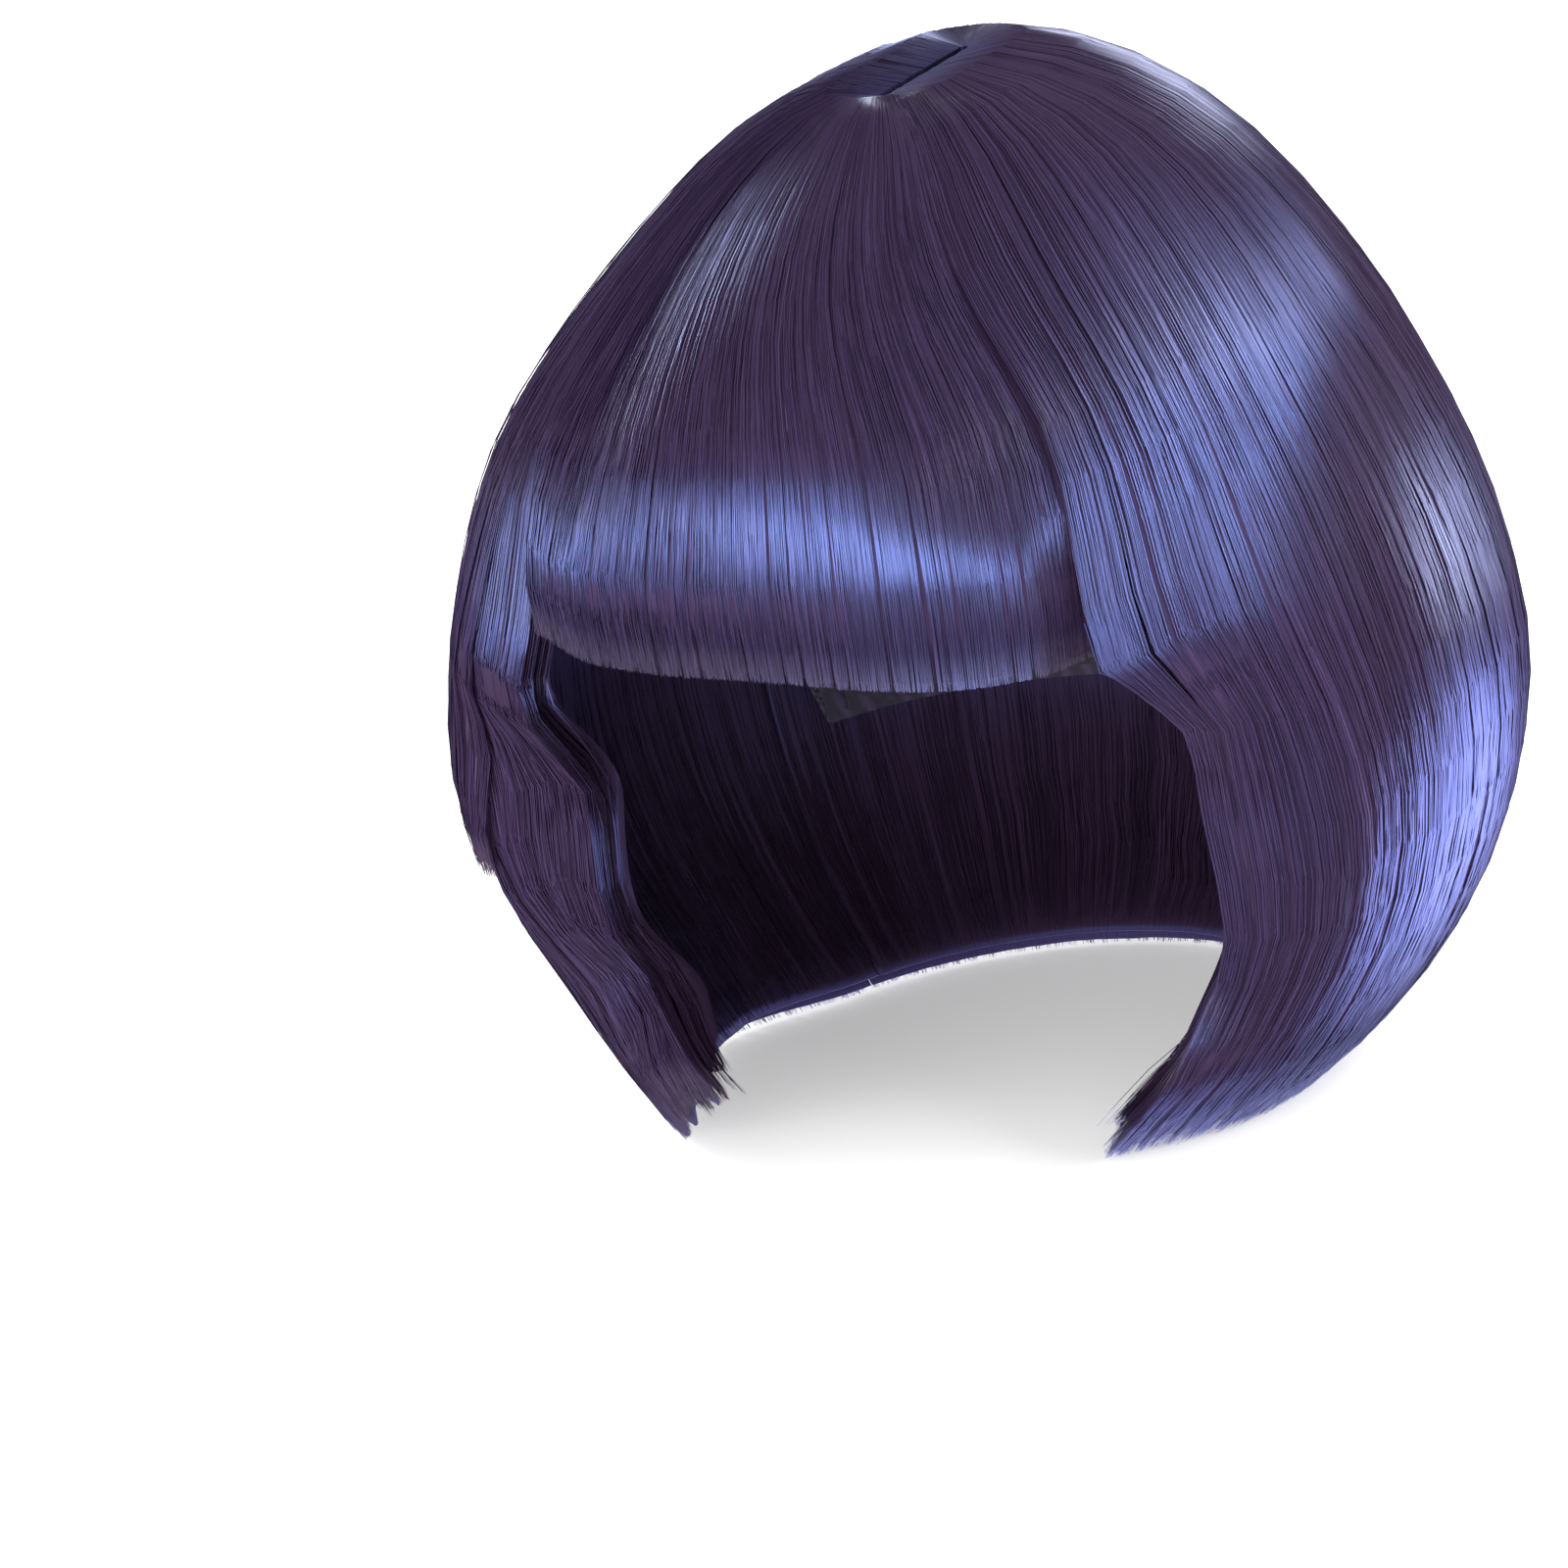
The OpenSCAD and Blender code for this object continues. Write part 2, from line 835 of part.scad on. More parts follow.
module right_short_hair()
{
    color(hair_colour)
        slab(
            8, 10,
            function (u, v) short_sheet(u, v, -mix(short_root_t, right_step_t, u)),
            function (u, v) short_sheet(u, v, short_depth)
        );
}

function back_sheet(z, v, depth) =
    let (from = seam(z, back_seam, swing_gap / 2, depth))
    on_level(level(z), mix(from, 360 - from, v), z, depth);

// A layer of back hair, with the thickness root at its top
module back_layer(top, end, depth, thickness, root)
{
    slab(
        hair_rows, 16,
        function (u, v) back_sheet(mix(top, end, u), v, depth),
        function (u, v) let (z = mix(top, end, u))
            back_sheet(z, v, depth + mix(root, thickness, smooth((top - z) / back_root_over)))
    );
}

module back_hair()
{
    color(hair_colour) back_layer(free_top_z, hair_end_z, 0, outer_t, back_root_t);
}

module nape_hair()
{
    color(under_colour)
        back_layer(nape_top_z, hair_end_z + under_rise, outer_t, under_t, under_t);
}

crown_net();
front_band();
left_ear_tab();
right_ear_tab();
nape_band();
centre_ribbon();
left_ribbon();
right_ribbon();
ear_to_ear_ribbon();
skin_part();
fringe_weft_track();
for (n = [1 : 9])
    weft_track(n);
loop_patch();
left_strap_tunnel();
right_strap_tunnel();
left_adjuster_strap();
left_hook_patch();
right_adjuster_strap();
right_hook_patch();
crown_hair_front();
crown_hair_left();
crown_hair_right();
crown_hair_back();
fringe_hair();
left_side_hair();
left_under_hair();
right_short_hair();
right_side_hair();
right_under_hair();
back_hair();
nape_hair();
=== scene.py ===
"""A chin-length bob wig with a full fringe, dressed over its packed construction model.

The hair is built as layers. Each layer has a closed mass that carries its body, and a few
thousand fine strands that follow the same flow from the parting to the cut ends. The hair's
form is worked out in millimetres, and everything is in metres once it is a mesh.
"""

import json
import logging
import math
from dataclasses import dataclass, fields
from enum import Enum
from typing import Callable, Optional, Sequence

import bpy
import numpy as np
from mathutils import Matrix, Quaternion, Vector

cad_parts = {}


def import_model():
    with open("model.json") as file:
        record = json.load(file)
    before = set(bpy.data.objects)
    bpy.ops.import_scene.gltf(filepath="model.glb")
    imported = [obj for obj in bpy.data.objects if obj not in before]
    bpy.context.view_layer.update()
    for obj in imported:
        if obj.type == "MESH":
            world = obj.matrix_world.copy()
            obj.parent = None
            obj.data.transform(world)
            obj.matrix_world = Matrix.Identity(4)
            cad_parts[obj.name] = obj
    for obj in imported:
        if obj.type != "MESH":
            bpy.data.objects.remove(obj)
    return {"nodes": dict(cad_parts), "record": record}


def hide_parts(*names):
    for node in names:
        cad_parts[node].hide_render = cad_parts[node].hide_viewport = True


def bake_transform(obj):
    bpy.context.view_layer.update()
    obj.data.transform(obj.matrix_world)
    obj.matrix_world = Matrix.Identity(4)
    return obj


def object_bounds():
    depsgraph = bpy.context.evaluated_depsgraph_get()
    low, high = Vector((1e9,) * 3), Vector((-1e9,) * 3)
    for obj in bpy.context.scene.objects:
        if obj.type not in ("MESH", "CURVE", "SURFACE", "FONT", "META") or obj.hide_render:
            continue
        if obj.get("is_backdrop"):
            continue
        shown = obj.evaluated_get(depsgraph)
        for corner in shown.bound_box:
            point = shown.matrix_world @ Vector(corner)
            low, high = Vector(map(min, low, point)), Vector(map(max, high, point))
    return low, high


LOG = logging.getLogger("wig")
MM = 0.001
WHITE = (1.0, 1.0, 1.0, 1.0)
Array = np.ndarray
Edge = Callable[[Array], Array]
Inward = Callable[[Array, float], Array]
Stops = Sequence[tuple[float, str]]
Pair = tuple[float, float]
Cut = Sequence[Pair]


def smooth(value: Array) -> Array:
    """Ease from 0 to 1.

    Args:
        value: the raw share, cut off below 0 and above 1.

    Returns:
        The eased share.
    """
    share = np.clip(value, 0.0, 1.0)
    return share * share * (3.0 - 2.0 * share)


def fade(value: Array, start: float, end: float) -> Array:
    """Ease from 0 at one value to 1 at another, which may be the smaller of the two.

    Args:
        value: the values.
        start: value at which the result leaves 0.
        end: value at which it reaches 1.

    Returns:
        The eased share.
    """
    return smooth((value - start) / (end - start))


def mix(a: Array, b: Array, share: Array) -> Array:
    """Blend two values.

    Args:
        a: the value at 0.
        b: the value at 1.
        share: where to stand between them.

    Returns:
        The blended value.
    """
    return a + (b - a) * share


def linear(hex_colour: str) -> tuple[float, float, float, float]:
    """Turn an sRGB hex colour into the linear values that shaders take.

    Args:
        hex_colour: a colour such as "#40304a".

    Returns:
        Red, green, blue and an alpha of 1.
    """
    parts = [int(hex_colour[i : i + 2], 16) / 255.0 for i in (1, 3, 5)]
    values = [c / 12.92 if c <= 0.04045 else ((c + 0.055) / 1.055) ** 2.4 for c in parts]
    return (values[0], values[1], values[2], 1.0)


def wire(tree: bpy.types.NodeTree, node: bpy.types.Node, inputs: dict) -> None:
    """Set a node's inputs, by name or index, to values, output sockets or fields."""
    for key, given in inputs.items():
        value = given.socket if isinstance(given, Field) else given
        if isinstance(value, bpy.types.NodeSocket):
            tree.links.new(value, node.inputs[key])
        else:
            node.inputs[key].default_value = value


def add_node(
    tree: bpy.types.NodeTree, kind: str, inputs: Optional[dict] = None, **settings: object
) -> bpy.types.Node:
    """Add one node, set it up and wire it.

    Args:
        tree: the tree that takes the node.
        kind: the node's type name.
        inputs: values, output sockets or fields by input name or index.
        **settings: the node's own properties, set first.

    Returns:
        The new node.
    """
    node = tree.nodes.new(kind)
    for name, value in settings.items():
        setattr(node, name, value)
    wire(tree, node, inputs or {})
    return node


@dataclass(frozen=True)
class Field:
    """A number that a node tree works out, so that maths in nodes is written as maths."""

    tree: bpy.types.NodeTree
    socket: bpy.types.NodeSocket

    def apply(self, operation: str, *values: object) -> "Field":
        """The result of one maths node.

        Args:
            operation: the node's operation.
            *values: its inputs in order: fields, sockets or numbers.

        Returns:
            The new field.
        """
        node = add_node(
            self.tree, "ShaderNodeMath", dict(enumerate(values)), operation=operation
        )
        return Field(self.tree, node.outputs[0])

    def __add__(self, other: object) -> "Field":
        """This plus another."""
        return self.apply("ADD", self, other)

    def __sub__(self, other: object) -> "Field":
        """This minus another."""
        return self.apply("SUBTRACT", self, other)

    def __rsub__(self, other: float) -> "Field":
        """A number minus this."""
        return self.apply("SUBTRACT", other, self)

    def __mul__(self, other: object) -> "Field":
        """This times another."""
        return self.apply("MULTIPLY", self, other)

    def __truediv__(self, other: object) -> "Field":
        """This divided by another."""
        return self.apply("DIVIDE", self, other)

    def __pow__(self, power: float) -> "Field":
        """This to a power."""
        return self.apply("POWER", self, power)

    def __lt__(self, other: object) -> "Field":
        """1 where this is less than another, and 0 elsewhere."""
        return self.apply("LESS_THAN", self, other)

    def __abs__(self) -> "Field":
        """This without its sign."""
        return self.apply("ABSOLUTE", self)

    def sine(self) -> "Field":
        """The sine of this many full turns."""
        return self.apply("SINE", self * (2.0 * math.pi))

    def towards(self, other: "Field", share: "Field") -> "Field":
        """This where the share is 0, and another where it is 1."""
        return self + share * (other - self)

    def held(self, low: float, high: float) -> "Field":
        """This, kept between two numbers."""
        raised = self.apply("MAXIMUM", self, low)
        return self.apply("MINIMUM", raised, high)


class Nodes:
    """Adds nodes to one tree."""

    def __init__(self, tree: bpy.types.NodeTree) -> None:
        """Start with the tree as it is."""
        self.tree = tree

    def node(self, kind: str, inputs: Optional[dict] = None, **settings: object) -> bpy.types.Node:
        """A new node, which add_node sets up."""
        return add_node(self.tree, kind, inputs, **settings)

    def value(
        self, kind: str, inputs: Optional[dict] = None, output: object = 0, **settings: object
    ) -> Field:
        """One output of a new node, by its index or name."""
        return Field(self.tree, self.node(kind, inputs, **settings).outputs[output])


class Slot(Enum):
    """The record's material slots."""

    HAIR = "hair_fibre"
    INNER = "inner_hair"
    NET = "stretch_net"
    TAPE = "cap_tape"
    SKIN = "skin_strip"
    WEFT = "weft_stitching"
    STRAP = "strap_webbing"
    HOOK = "hook_and_loop"


class Side(Enum):
    """The wearer's side on which a layer lies, as the sign of its angles."""

    LEFT = 1
    RIGHT = -1


# ---------------------------------------------------------------------------- the hair's form


@dataclass(frozen=True)
class HairForm:
    """The outer form of the hair, the same as in the construction model.

    Lengths and heights are in millimetres, and names that end in _t are angles in degrees.
    Each pair is the value where something starts and the value where it is complete.
    """

    half_width: float = 112.0
    top: float = 99.0
    waist: float = -38.0
    curl_depth: float = 105.0
    back_volume: float = 10.0
    back_fill: float = 0.09
    crown_round: float = 1.75
    side_round: float = 1.95
    crown_lean: float = 22.0
    lean_heights: Pair = (20.0, 95.0)
    forward: float = 4.0
    front_fill: float = 0.5
    fill_heights: Pair = (5.0, 85.0)
    fill_power: float = 2.6
    crown_narrow: float = 0.045
    narrow_heights: Pair = (30.0, 80.0)
    part_front: float = -18.0
    part_back: float = 26.0
    part_half: float = 3.0
    part_dip: float = 3.5
    part_close: float = 2.0
    part_reach: float = 11.2
    gather_share: float = 0.75
    gather_power: float = 1.5
    swing: float = 40.0
    swing_gap: float = 0.6
    face_hug: float = 0.2
    hug_heights: Pair = (-9.0, -45.0)
    hug_span_t: Pair = (68.0, 44.0)
    hug_let_go: float = 0.8
    hug_ends: Pair = (-80.0, -106.0)
    fringe_z: float = -3.0
    fringe_sag: float = 4.0
    end_z: float = -122.0
    right_front_z: float = -102.0
    right_flare: float = 11.0
    flare_from: float = -88.0
    flare_over: float = 34.0
    flare_span_t: Pair = (118.0, 88.0)
    step_z: float = -64.0
    step_t: float = 3.3

    def share(self, z: Array) -> Array:
        """Half width at a height, as a share of the widest."""
        up = np.clip((z - self.waist) / (self.top - self.waist), 0.0, 1.0)
        down = np.clip((self.waist - z) / self.curl_depth, 0.0, 1.0)
        above = np.power(1.0 - np.power(up, self.crown_round), 1.0 / self.side_round)
        return np.where(z >= self.waist, above, np.sqrt(1.0 - down * down))

    def level(self, z: Array) -> tuple[Array, Array, Array, Array]:
        """Radius, centres of the round front and the round back, and the fuller front's share.

        Args:
            z: heights.

        Returns:
            The four, one value per height.
        """
        share = self.share(z)
        gather = np.power(np.clip(1.0 - share / self.gather_share, 0.0, None), self.gather_power)
        lean = self.crown_lean * fade(z, *self.lean_heights) - self.forward
        narrow = 1.0 - self.crown_narrow * fade(z, *self.narrow_heights)
        radius = np.maximum(self.part_half, self.half_width * share * narrow)
        front = mix(lean, self.part_front, gather)
        back = mix(lean + self.back_volume * share, self.part_back, gather)
        return radius, front, back, self.front_fill * fade(z, *self.fill_heights)

    def fuller(self, ahead: Array, radius: Array, fill: Array) -> Array:
        """How much further forward the fuller front or back is, by the cosine of the angle."""
        front = fill * radius * np.power(np.clip(ahead, 0.0, None), self.fill_power)
        back = self.back_fill * radius * np.power(np.clip(-ahead, 0.0, None), self.fill_power)
        return front - back

    def seam(self, z: Array, angle: float, beside: float = 0.0) -> Array:
        """Angle at which each level crosses an upright plane.

        Args:
            z: heights.
            angle: the plane's angle from straight ahead, in degrees.
            beside: its distance from the Z axis towards the back, in millimetres.

        Returns:
            Angles in degrees, found in a few steps.
        """
        radius, front, back, fill = self.level(z)
        centre = front if angle < 90.0 else back
        found = np.full_like(radius, angle)
        for _ in range(6):
            extra = self.fuller(np.cos(np.radians(found)), radius, fill)
            sine = (beside + math.sin(math.radians(angle)) * (extra - centre)) / radius
            found = angle + np.degrees(np.arcsin(np.clip(sine, -1.0, 1.0)))
        return found

    def edge(self, angle: float, cut: Cut) -> Edge:
        """Front edge of side hair: along the fringe's seam, and then along its own cut.

        Args:
            angle: angle of the seam's plane, in degrees.
            cut: shares of the way from the fringe's ends down to the lowest ends, each with
                the edge's angle there.

        Returns:
            A function from height to angle.
        """
        low = self.fringe_z - self.fringe_sag
        shares, angles = zip(*cut)

        def at(z: Array) -> Array:
            """Angle of the edge at each height."""
            along = self.seam(np.clip(z, low, self.swing), angle, 0.5 * self.swing_gap)
            below = (low - z) / (low - self.end_z)
            start = float(self.seam(np.array([low]), angle, 0.5 * self.swing_gap)[0])
            cut_angle = np.interp(below, (0.0,) + shares, (start,) + angles)
            return np.where(below <= 0.0, along, cut_angle)

        return at

    def hug(self, z: Array, t: Array) -> Array:
        """Share of its radius that side hair keeps where it closes on the face."""
        near_face = fade(np.abs(t), *self.hug_span_t)
        let_go = 1.0 - self.hug_let_go * fade(z, *self.hug_ends)
        return 1.0 - self.face_hug * fade(z, *self.hug_heights) * near_face * let_go

    def flare(self, z: Array, t: Array) -> Array:
        """How far the ends stand out on the wearer's right, at angles t below 0."""
        low = np.clip((self.flare_from - z) / self.flare_over, 0.0, 1.0)
        span = fade(np.abs(t), *self.flare_span_t)
        return np.where(t < 0.0, self.right_flare * low * low * span, 0.0)

    def walk(self, t: Array, z: Array) -> Array:
        """Distance round a level from straight ahead to an angle, with its straight side."""
        radius, front, back, _ = self.level(z)
        return radius * np.radians(t) + np.where(t > 90.0, back - front, 0.0)

    def reach(self, distance: Array, z: Array) -> tuple[Array, Array]:
        """Angle at a distance round a level, and how far along the straight side it is."""
        radius, front, back, _ = self.level(z)
        side = np.maximum(back - front, 0.001)
        along = np.clip((distance - radius * math.pi / 2.0) / side, 0.0, 1.0)
        return np.degrees((distance - along * side) / radius), along

    def point(
        self, t: Array, along: Array, z: Array, depth: Array, side_hair: bool = False
    ) -> Array:
        """A point of the form.

        Args:
            t: angle from straight ahead, in degrees, positive to the wearer's left.
            along: place along the straight side, from 0 in front to 1 behind.
            z: height.
            depth: distance pulled in from the outer form.
            side_hair: whether it closes on the face and flares as side hair does.

        Returns:
            Points, with x, y and z last.
        """
        radius, front, back, fill = self.level(z)
        at_part = 1.0 - smooth((radius - self.part_half) / self.part_reach)
        if side_hair:
            radius = radius * self.hug(z, t) + self.flare(z, t)
        radius = radius - depth - self.part_close * at_part
        angle = np.radians(t)
        ahead = np.cos(angle)
        y = mix(front, back, along) - radius * ahead - self.fuller(ahead, radius, fill)
        return np.stack([radius * np.sin(angle), y, z - self.part_dip * at_part], axis=-1)

    def crown_heights(self, count: int) -> Array:
        """Heights from the parting down to where the hair leaves the cap."""
        span = self.top - self.waist
        start = math.asin((self.part_half / self.half_width) ** (self.side_round / 2.0))
        end = math.acos(((self.swing - self.waist) / span) ** (self.crown_round / 2.0))
        turn = np.linspace(start, end, count)
        return self.waist + span * np.power(np.cos(turn), 2.0 / self.crown_round)


def nothing(z: Array, v: float = 0.0) -> Array:
    """Zero at every height."""
    return np.zeros_like(z)


@dataclass(frozen=True)
class Layer:
    """One layer of hair: where it runs and how it is cut.

    Attributes:
        name: stem of its pieces' names.
        body: the swinging body of its free part; not used.
        nodes: the construction nodes that it stands for.
        slot: its material slot.
        start: angle of its first edge at a height, in degrees.
        stop: angle of its last edge at a height, in degrees.
        cut: height of its ends, by share of its width.
        strands: how many strands it has in each of its pieces.
        seed: seed of everything random in it.
        side: the wearer's side on which it lies.
        top: height of its roots, or None where it starts at the parting.
        depth: distance of its outer face from the hair's outer form, in millimetres.
        thickness: distance between its outer and inner faces, in millimetres.
        edge: thickness at its first edge, in millimetres.
        side_hair: whether it closes on the face.
        bends: heights between which it would turn from the cap to the swinging body; the build
            reads them but bends nothing.
        pull: how fast the shape of the first edge fades across the layer.
        lap: how far its strands lie over the hair before its first edge, in degrees.
        inward: distance that it is tucked in, by height and share of its width.
        inset: share of its width that its mass stays behind its first edge.
        pieces: how many pieces its strands are split into.
        inner_share: share of the strands that lie on its inner face.
        edge_share: share of the strands that close its first edge.
        clumps: how many locks there are across it.
        steps: how many points each strand has.
    """

    name: str
    body: str
    nodes: tuple[str, ...]
    slot: Slot
    start: Edge
    stop: Edge
    cut: Edge
    strands: int
    seed: int
    side: Side = Side.LEFT
    top: Optional[float] = None
    depth: float = 0.0
    thickness: float = 9.0
    edge: float = 9.0
    side_hair: bool = False
    bends: Pair = (46.0, 34.0)
    pull: float = 2.2
    lap: Edge = nothing
    inward: Inward = nothing
    inset: float = 0.035
    pieces: int = 1
    inner_share: float = 0.12
    edge_share: float = 0.0
    clumps: float = 90.0
    steps: int = 24


@dataclass(frozen=True)
class Flow:
    """Lays a layer out as rows down the hair and columns across it.

    Attributes:
        form: the outer form of the hair.
        layer: the layer.
        laps: whether it lies over the hair before its first edge, as loose strands do.
        crown_rows: heights worked out on the cap.
        free_rows: heights worked out below it.
        blur: millimetres over which the first edge's corners are rounded, at the two edges.
        lap_power: how fast the lap fades across the layer.
    """

    form: HairForm
    layer: Layer
    laps: bool = False
    crown_rows: int = 50
    free_rows: int = 60
    blur: Pair = (5.0, 65.0)
    lap_power: float = 7.0

    BLUR_WEIGHTS = (
        (-1.5, 0.13), (-1.0, 0.24), (-0.5, 0.35), (0.0, 0.4), (0.5, 0.35), (1.0, 0.24), (1.5, 0.13)
    )
    HEAD_MIDDLE = (0.0, 0.0, -20.0)

    def heights(self, v: float) -> Array:
        """Heights down one column, from the root to the cut end."""
        end = float(self.layer.cut(np.array(v)))
        if self.layer.top is not None:
            return np.linspace(self.layer.top, end, self.free_rows)
        crown = self.form.crown_heights(self.crown_rows)
        return np.concatenate([crown[:-1], np.linspace(self.form.swing, end, self.free_rows)])

    def places(self, v: float, z: Array) -> tuple[Array, Array]:
        """Where one column runs.

        Args:
            v: place across the layer, from 0 to 1.
            z: heights.

        Returns:
            Angle at each height, and place along the straight side.
        """
        layer, walk = self.layer, self.form.walk
        there = walk(layer.start(np.full_like(z, self.form.swing)), z)
        blur = mix(*self.blur, v)
        first = sum(weight * walk(layer.start(z + blur * k), z) for k, weight in self.BLUR_WEIGHTS)
        first = first / sum(weight for _, weight in self.BLUR_WEIGHTS)
        pulled = (first - there) * (1.0 - v) ** layer.pull
        if self.laps:
            lap = self.form.level(z)[0] * np.radians(layer.lap(z))
            pulled = pulled - lap * (1.0 - v) ** self.lap_power
        t, along = self.form.reach(mix(there, walk(layer.stop(z), z), v) + pulled, z)
        return layer.side.value * t, along

    def column(self, v: float, depth: Inward, rows: int, reach: float) -> Array:
        """Points down one column, spaced evenly along it.

        Args:
            v: place across the layer, from 0 to 1.
            depth: distance inwards from the layer's outer face, by height and place.
            rows: how many points to make.
            reach: share of the whole length that they cover.

        Returns:
            An array of rows points.
        """
        layer, z = self.layer, self.heights(v)
        t, along = self.places(v, z)
        outer = self.form.point(t, along, z, np.zeros_like(z), layer.side_hair)
        inwards = layer.depth + layer.inward(z, v) + depth(z, v)
        moved = self.form.point(t, along, z, inwards, layer.side_hair)
        steps = np.linalg.norm(np.diff(outer, axis=0), axis=1)
        length = np.concatenate([[0.0], np.cumsum(steps)])
        wanted = np.linspace(0.0, length[-1] * reach, rows)
        return np.stack([np.interp(wanted, length, moved[:, i]) for i in range(3)], axis=-1)

    def sheet(
        self, rows: int, columns: int, depth: Inward = nothing, inset: float = 0.0,
        reach: float = 1.0,
    ) -> Array:
        """A sheet of points.

        Args:
            rows: how many there are down the hair.
            columns: how many there are across it.
            depth: distance inwards from the layer's outer face.
            inset: share of the width left out at the first edge.
            reach: share of the length that it covers.

        Returns:
            Rows, then columns, then x, y and z.
        """
        across = np.linspace(inset, 1.0, columns)
        return np.stack([self.column(float(v), depth, rows, reach) for v in across], axis=1)

    def normals(self, sheet: Array) -> Array:
        """Unit normals of a sheet, pointing away from the head."""
        normal = np.cross(np.gradient(sheet, axis=1), np.gradient(sheet, axis=0))
        normal /= np.maximum(np.linalg.norm(normal, axis=-1, keepdims=True), 1e-9)
        away = sheet - np.array(self.HEAD_MIDDLE)
        return -normal if np.mean(np.sum(normal * away, axis=-1)) < 0.0 else normal


# ---------------------------------------------------------------------------- mesh helpers


class MeshMaker:
    """Makes meshes from numpy arrays."""

    @staticmethod
    def grid_faces(rows: int, columns: int, offset: int = 0) -> Array:
        """Quads of a grid, counted row by row."""
        k, j = np.meshgrid(np.arange(rows - 1), np.arange(columns - 1), indexing="ij")
        a = (k * columns + j + offset).ravel()
        return np.stack([a, a + columns, a + columns + 1, a + 1], axis=-1)

    @staticmethod
    def grid_map(rows: int, columns: int) -> Array:
        """Map values of a grid: across it, and then down it."""
        down, across = np.linspace(0, 1, rows), np.linspace(0, 1, columns)
        u, v = np.meshgrid(down, across, indexing="ij")
        return np.stack([v, u], axis=-1).reshape(-1, 2)

    @staticmethod
    def build(
        name: str, points: Array, faces: Array, uv: Optional[Array] = None
    ) -> bpy.types.Object:
        """Make a smooth mesh object.

        Args:
            name: the object's name.
            points: its points, in millimetres.
            faces: its faces, as indices.
            uv: a map value per point, or None.

        Returns:
            The object, linked to the scene.
        """
        mesh = bpy.data.meshes.new(name)
        mesh.from_pydata((points.reshape(-1, 3) * MM).tolist(), [], faces.tolist())
        mesh.validate()
        if uv is not None:
            layer = mesh.uv_layers.new(name="flow")
            index = np.empty(len(mesh.loops), dtype=np.int32)
            mesh.loops.foreach_get("vertex_index", index)
            layer.data.foreach_set("uv", uv[index].astype(np.float32).ravel())
        mesh.polygons.foreach_set("use_smooth", np.ones(len(mesh.polygons), dtype=bool))
        mesh.update()
        thing = bpy.data.objects.new(name, mesh)
        bpy.context.scene.collection.objects.link(thing)
        return thing

    @classmethod
    def slab(cls, name: str, outer: Array, inner: Array) -> bpy.types.Object:
        """A closed solid between two sheets of the same layout.

        Args:
            name: the object's name.
            outer: the outer sheet, in millimetres.
            inner: the inner sheet.

        Returns:
            The object, with its faces outwards.
        """
        rows, columns = outer.shape[:2]
        count = rows * columns
        front = cls.grid_faces(rows, columns)
        back = cls.grid_faces(rows, columns, count)[:, ::-1]
        ring = np.concatenate([
            np.arange(columns),
            np.arange(1, rows) * columns + columns - 1,
            (rows - 1) * columns + np.arange(columns - 2, -1, -1),
            np.arange(rows - 2, 0, -1) * columns,
        ])
        following = np.roll(ring, -1)
        rim = np.stack([ring, following, following + count, ring + count], axis=-1)
        uv = np.concatenate([cls.grid_map(rows, columns)] * 2)
        points = np.concatenate([outer.reshape(-1, 3), inner.reshape(-1, 3)])
        thing = cls.build(name, points, np.concatenate([front, back, rim]), uv)
        cls.face_outwards(thing)
        return thing

    @staticmethod
    def face_outwards(thing: bpy.types.Object) -> None:
        """Turn a closed mesh's faces outwards."""
        mesh = thing.data
        points = np.array([v.co for v in mesh.vertices])
        volume = 0.0
        for polygon in mesh.polygons:
            corners = points[list(polygon.vertices)]
            for i in range(1, len(corners) - 1):
                volume += float(np.dot(corners[0], np.cross(corners[i], corners[i + 1])))
        if volume < 0.0:
            mesh.flip_normals()


# ---------------------------------------------------------------------------- strands


@dataclass(frozen=True)
class StrandRecipe:
    """Inputs of the strand tree, in metres and shares; its sockets have the same names.

    Attributes:
        count: how many strands there are.
        seed: seed of everything random in them.
        steps: points in each.
        radius: radius of a middling strand.
        outer_depth: depth of the outer strands under the flow sheet.
        inner_depth: depth of the inner strands.
        inner_share: share of the strands that are inner ones.
        edge_share: share of the strands that close the first edge.
        edge_depth: depth over which those are spread.
        scatter: depth over which the others are spread.
        clumps: locks across the sheet.
        clump_pull: how far a lock's strands draw together.
        clump_lift: how far a lock stands up or sinks.
        sway: how far a strand waves in depth.
        crossing: how far a strand wanders sideways, as a share of the width.
        trim: how much shorter than the rest a strand can be.
        flyaway_share: share of the strands that stand away.
        flyaway_lift: how far those stand away.
    """

    count: int
    seed: int
    steps: int
    inner_depth: float
    inner_share: float
    edge_share: float
    edge_depth: float
    clumps: float
    radius: float = 0.00014
    outer_depth: float = 0.0
    scatter: float = 0.0009
    clump_pull: float = 0.18
    clump_lift: float = 0.0004
    sway: float = 0.00035
    crossing: float = 0.012
    trim: float = 0.02
    flyaway_share: float = 0.01
    flyaway_lift: float = 0.0014

    @staticmethod
    def socket_name(name: str) -> str:
        """The tree's name for an input."""
        return name.replace("_", " ").title()

    def by_socket(self) -> dict[str, float]:
        """The inputs by the socket names of the tree."""
        return {self.socket_name(item.name): getattr(self, item.name) for item in fields(self)}


@dataclass(frozen=True)
class Lay:
    """How each strand is laid across the flow sheet, as fields of the strand tree.

    Attributes:
        v: place across the sheet.
        is_edge: whether it closes the first edge.
        flies: whether it stands away.
        large: random share of its large clump.
        small: random share of its small clump.
    """

    v: Field
    is_edge: Field
    flies: Field
    large: Field
    small: Field


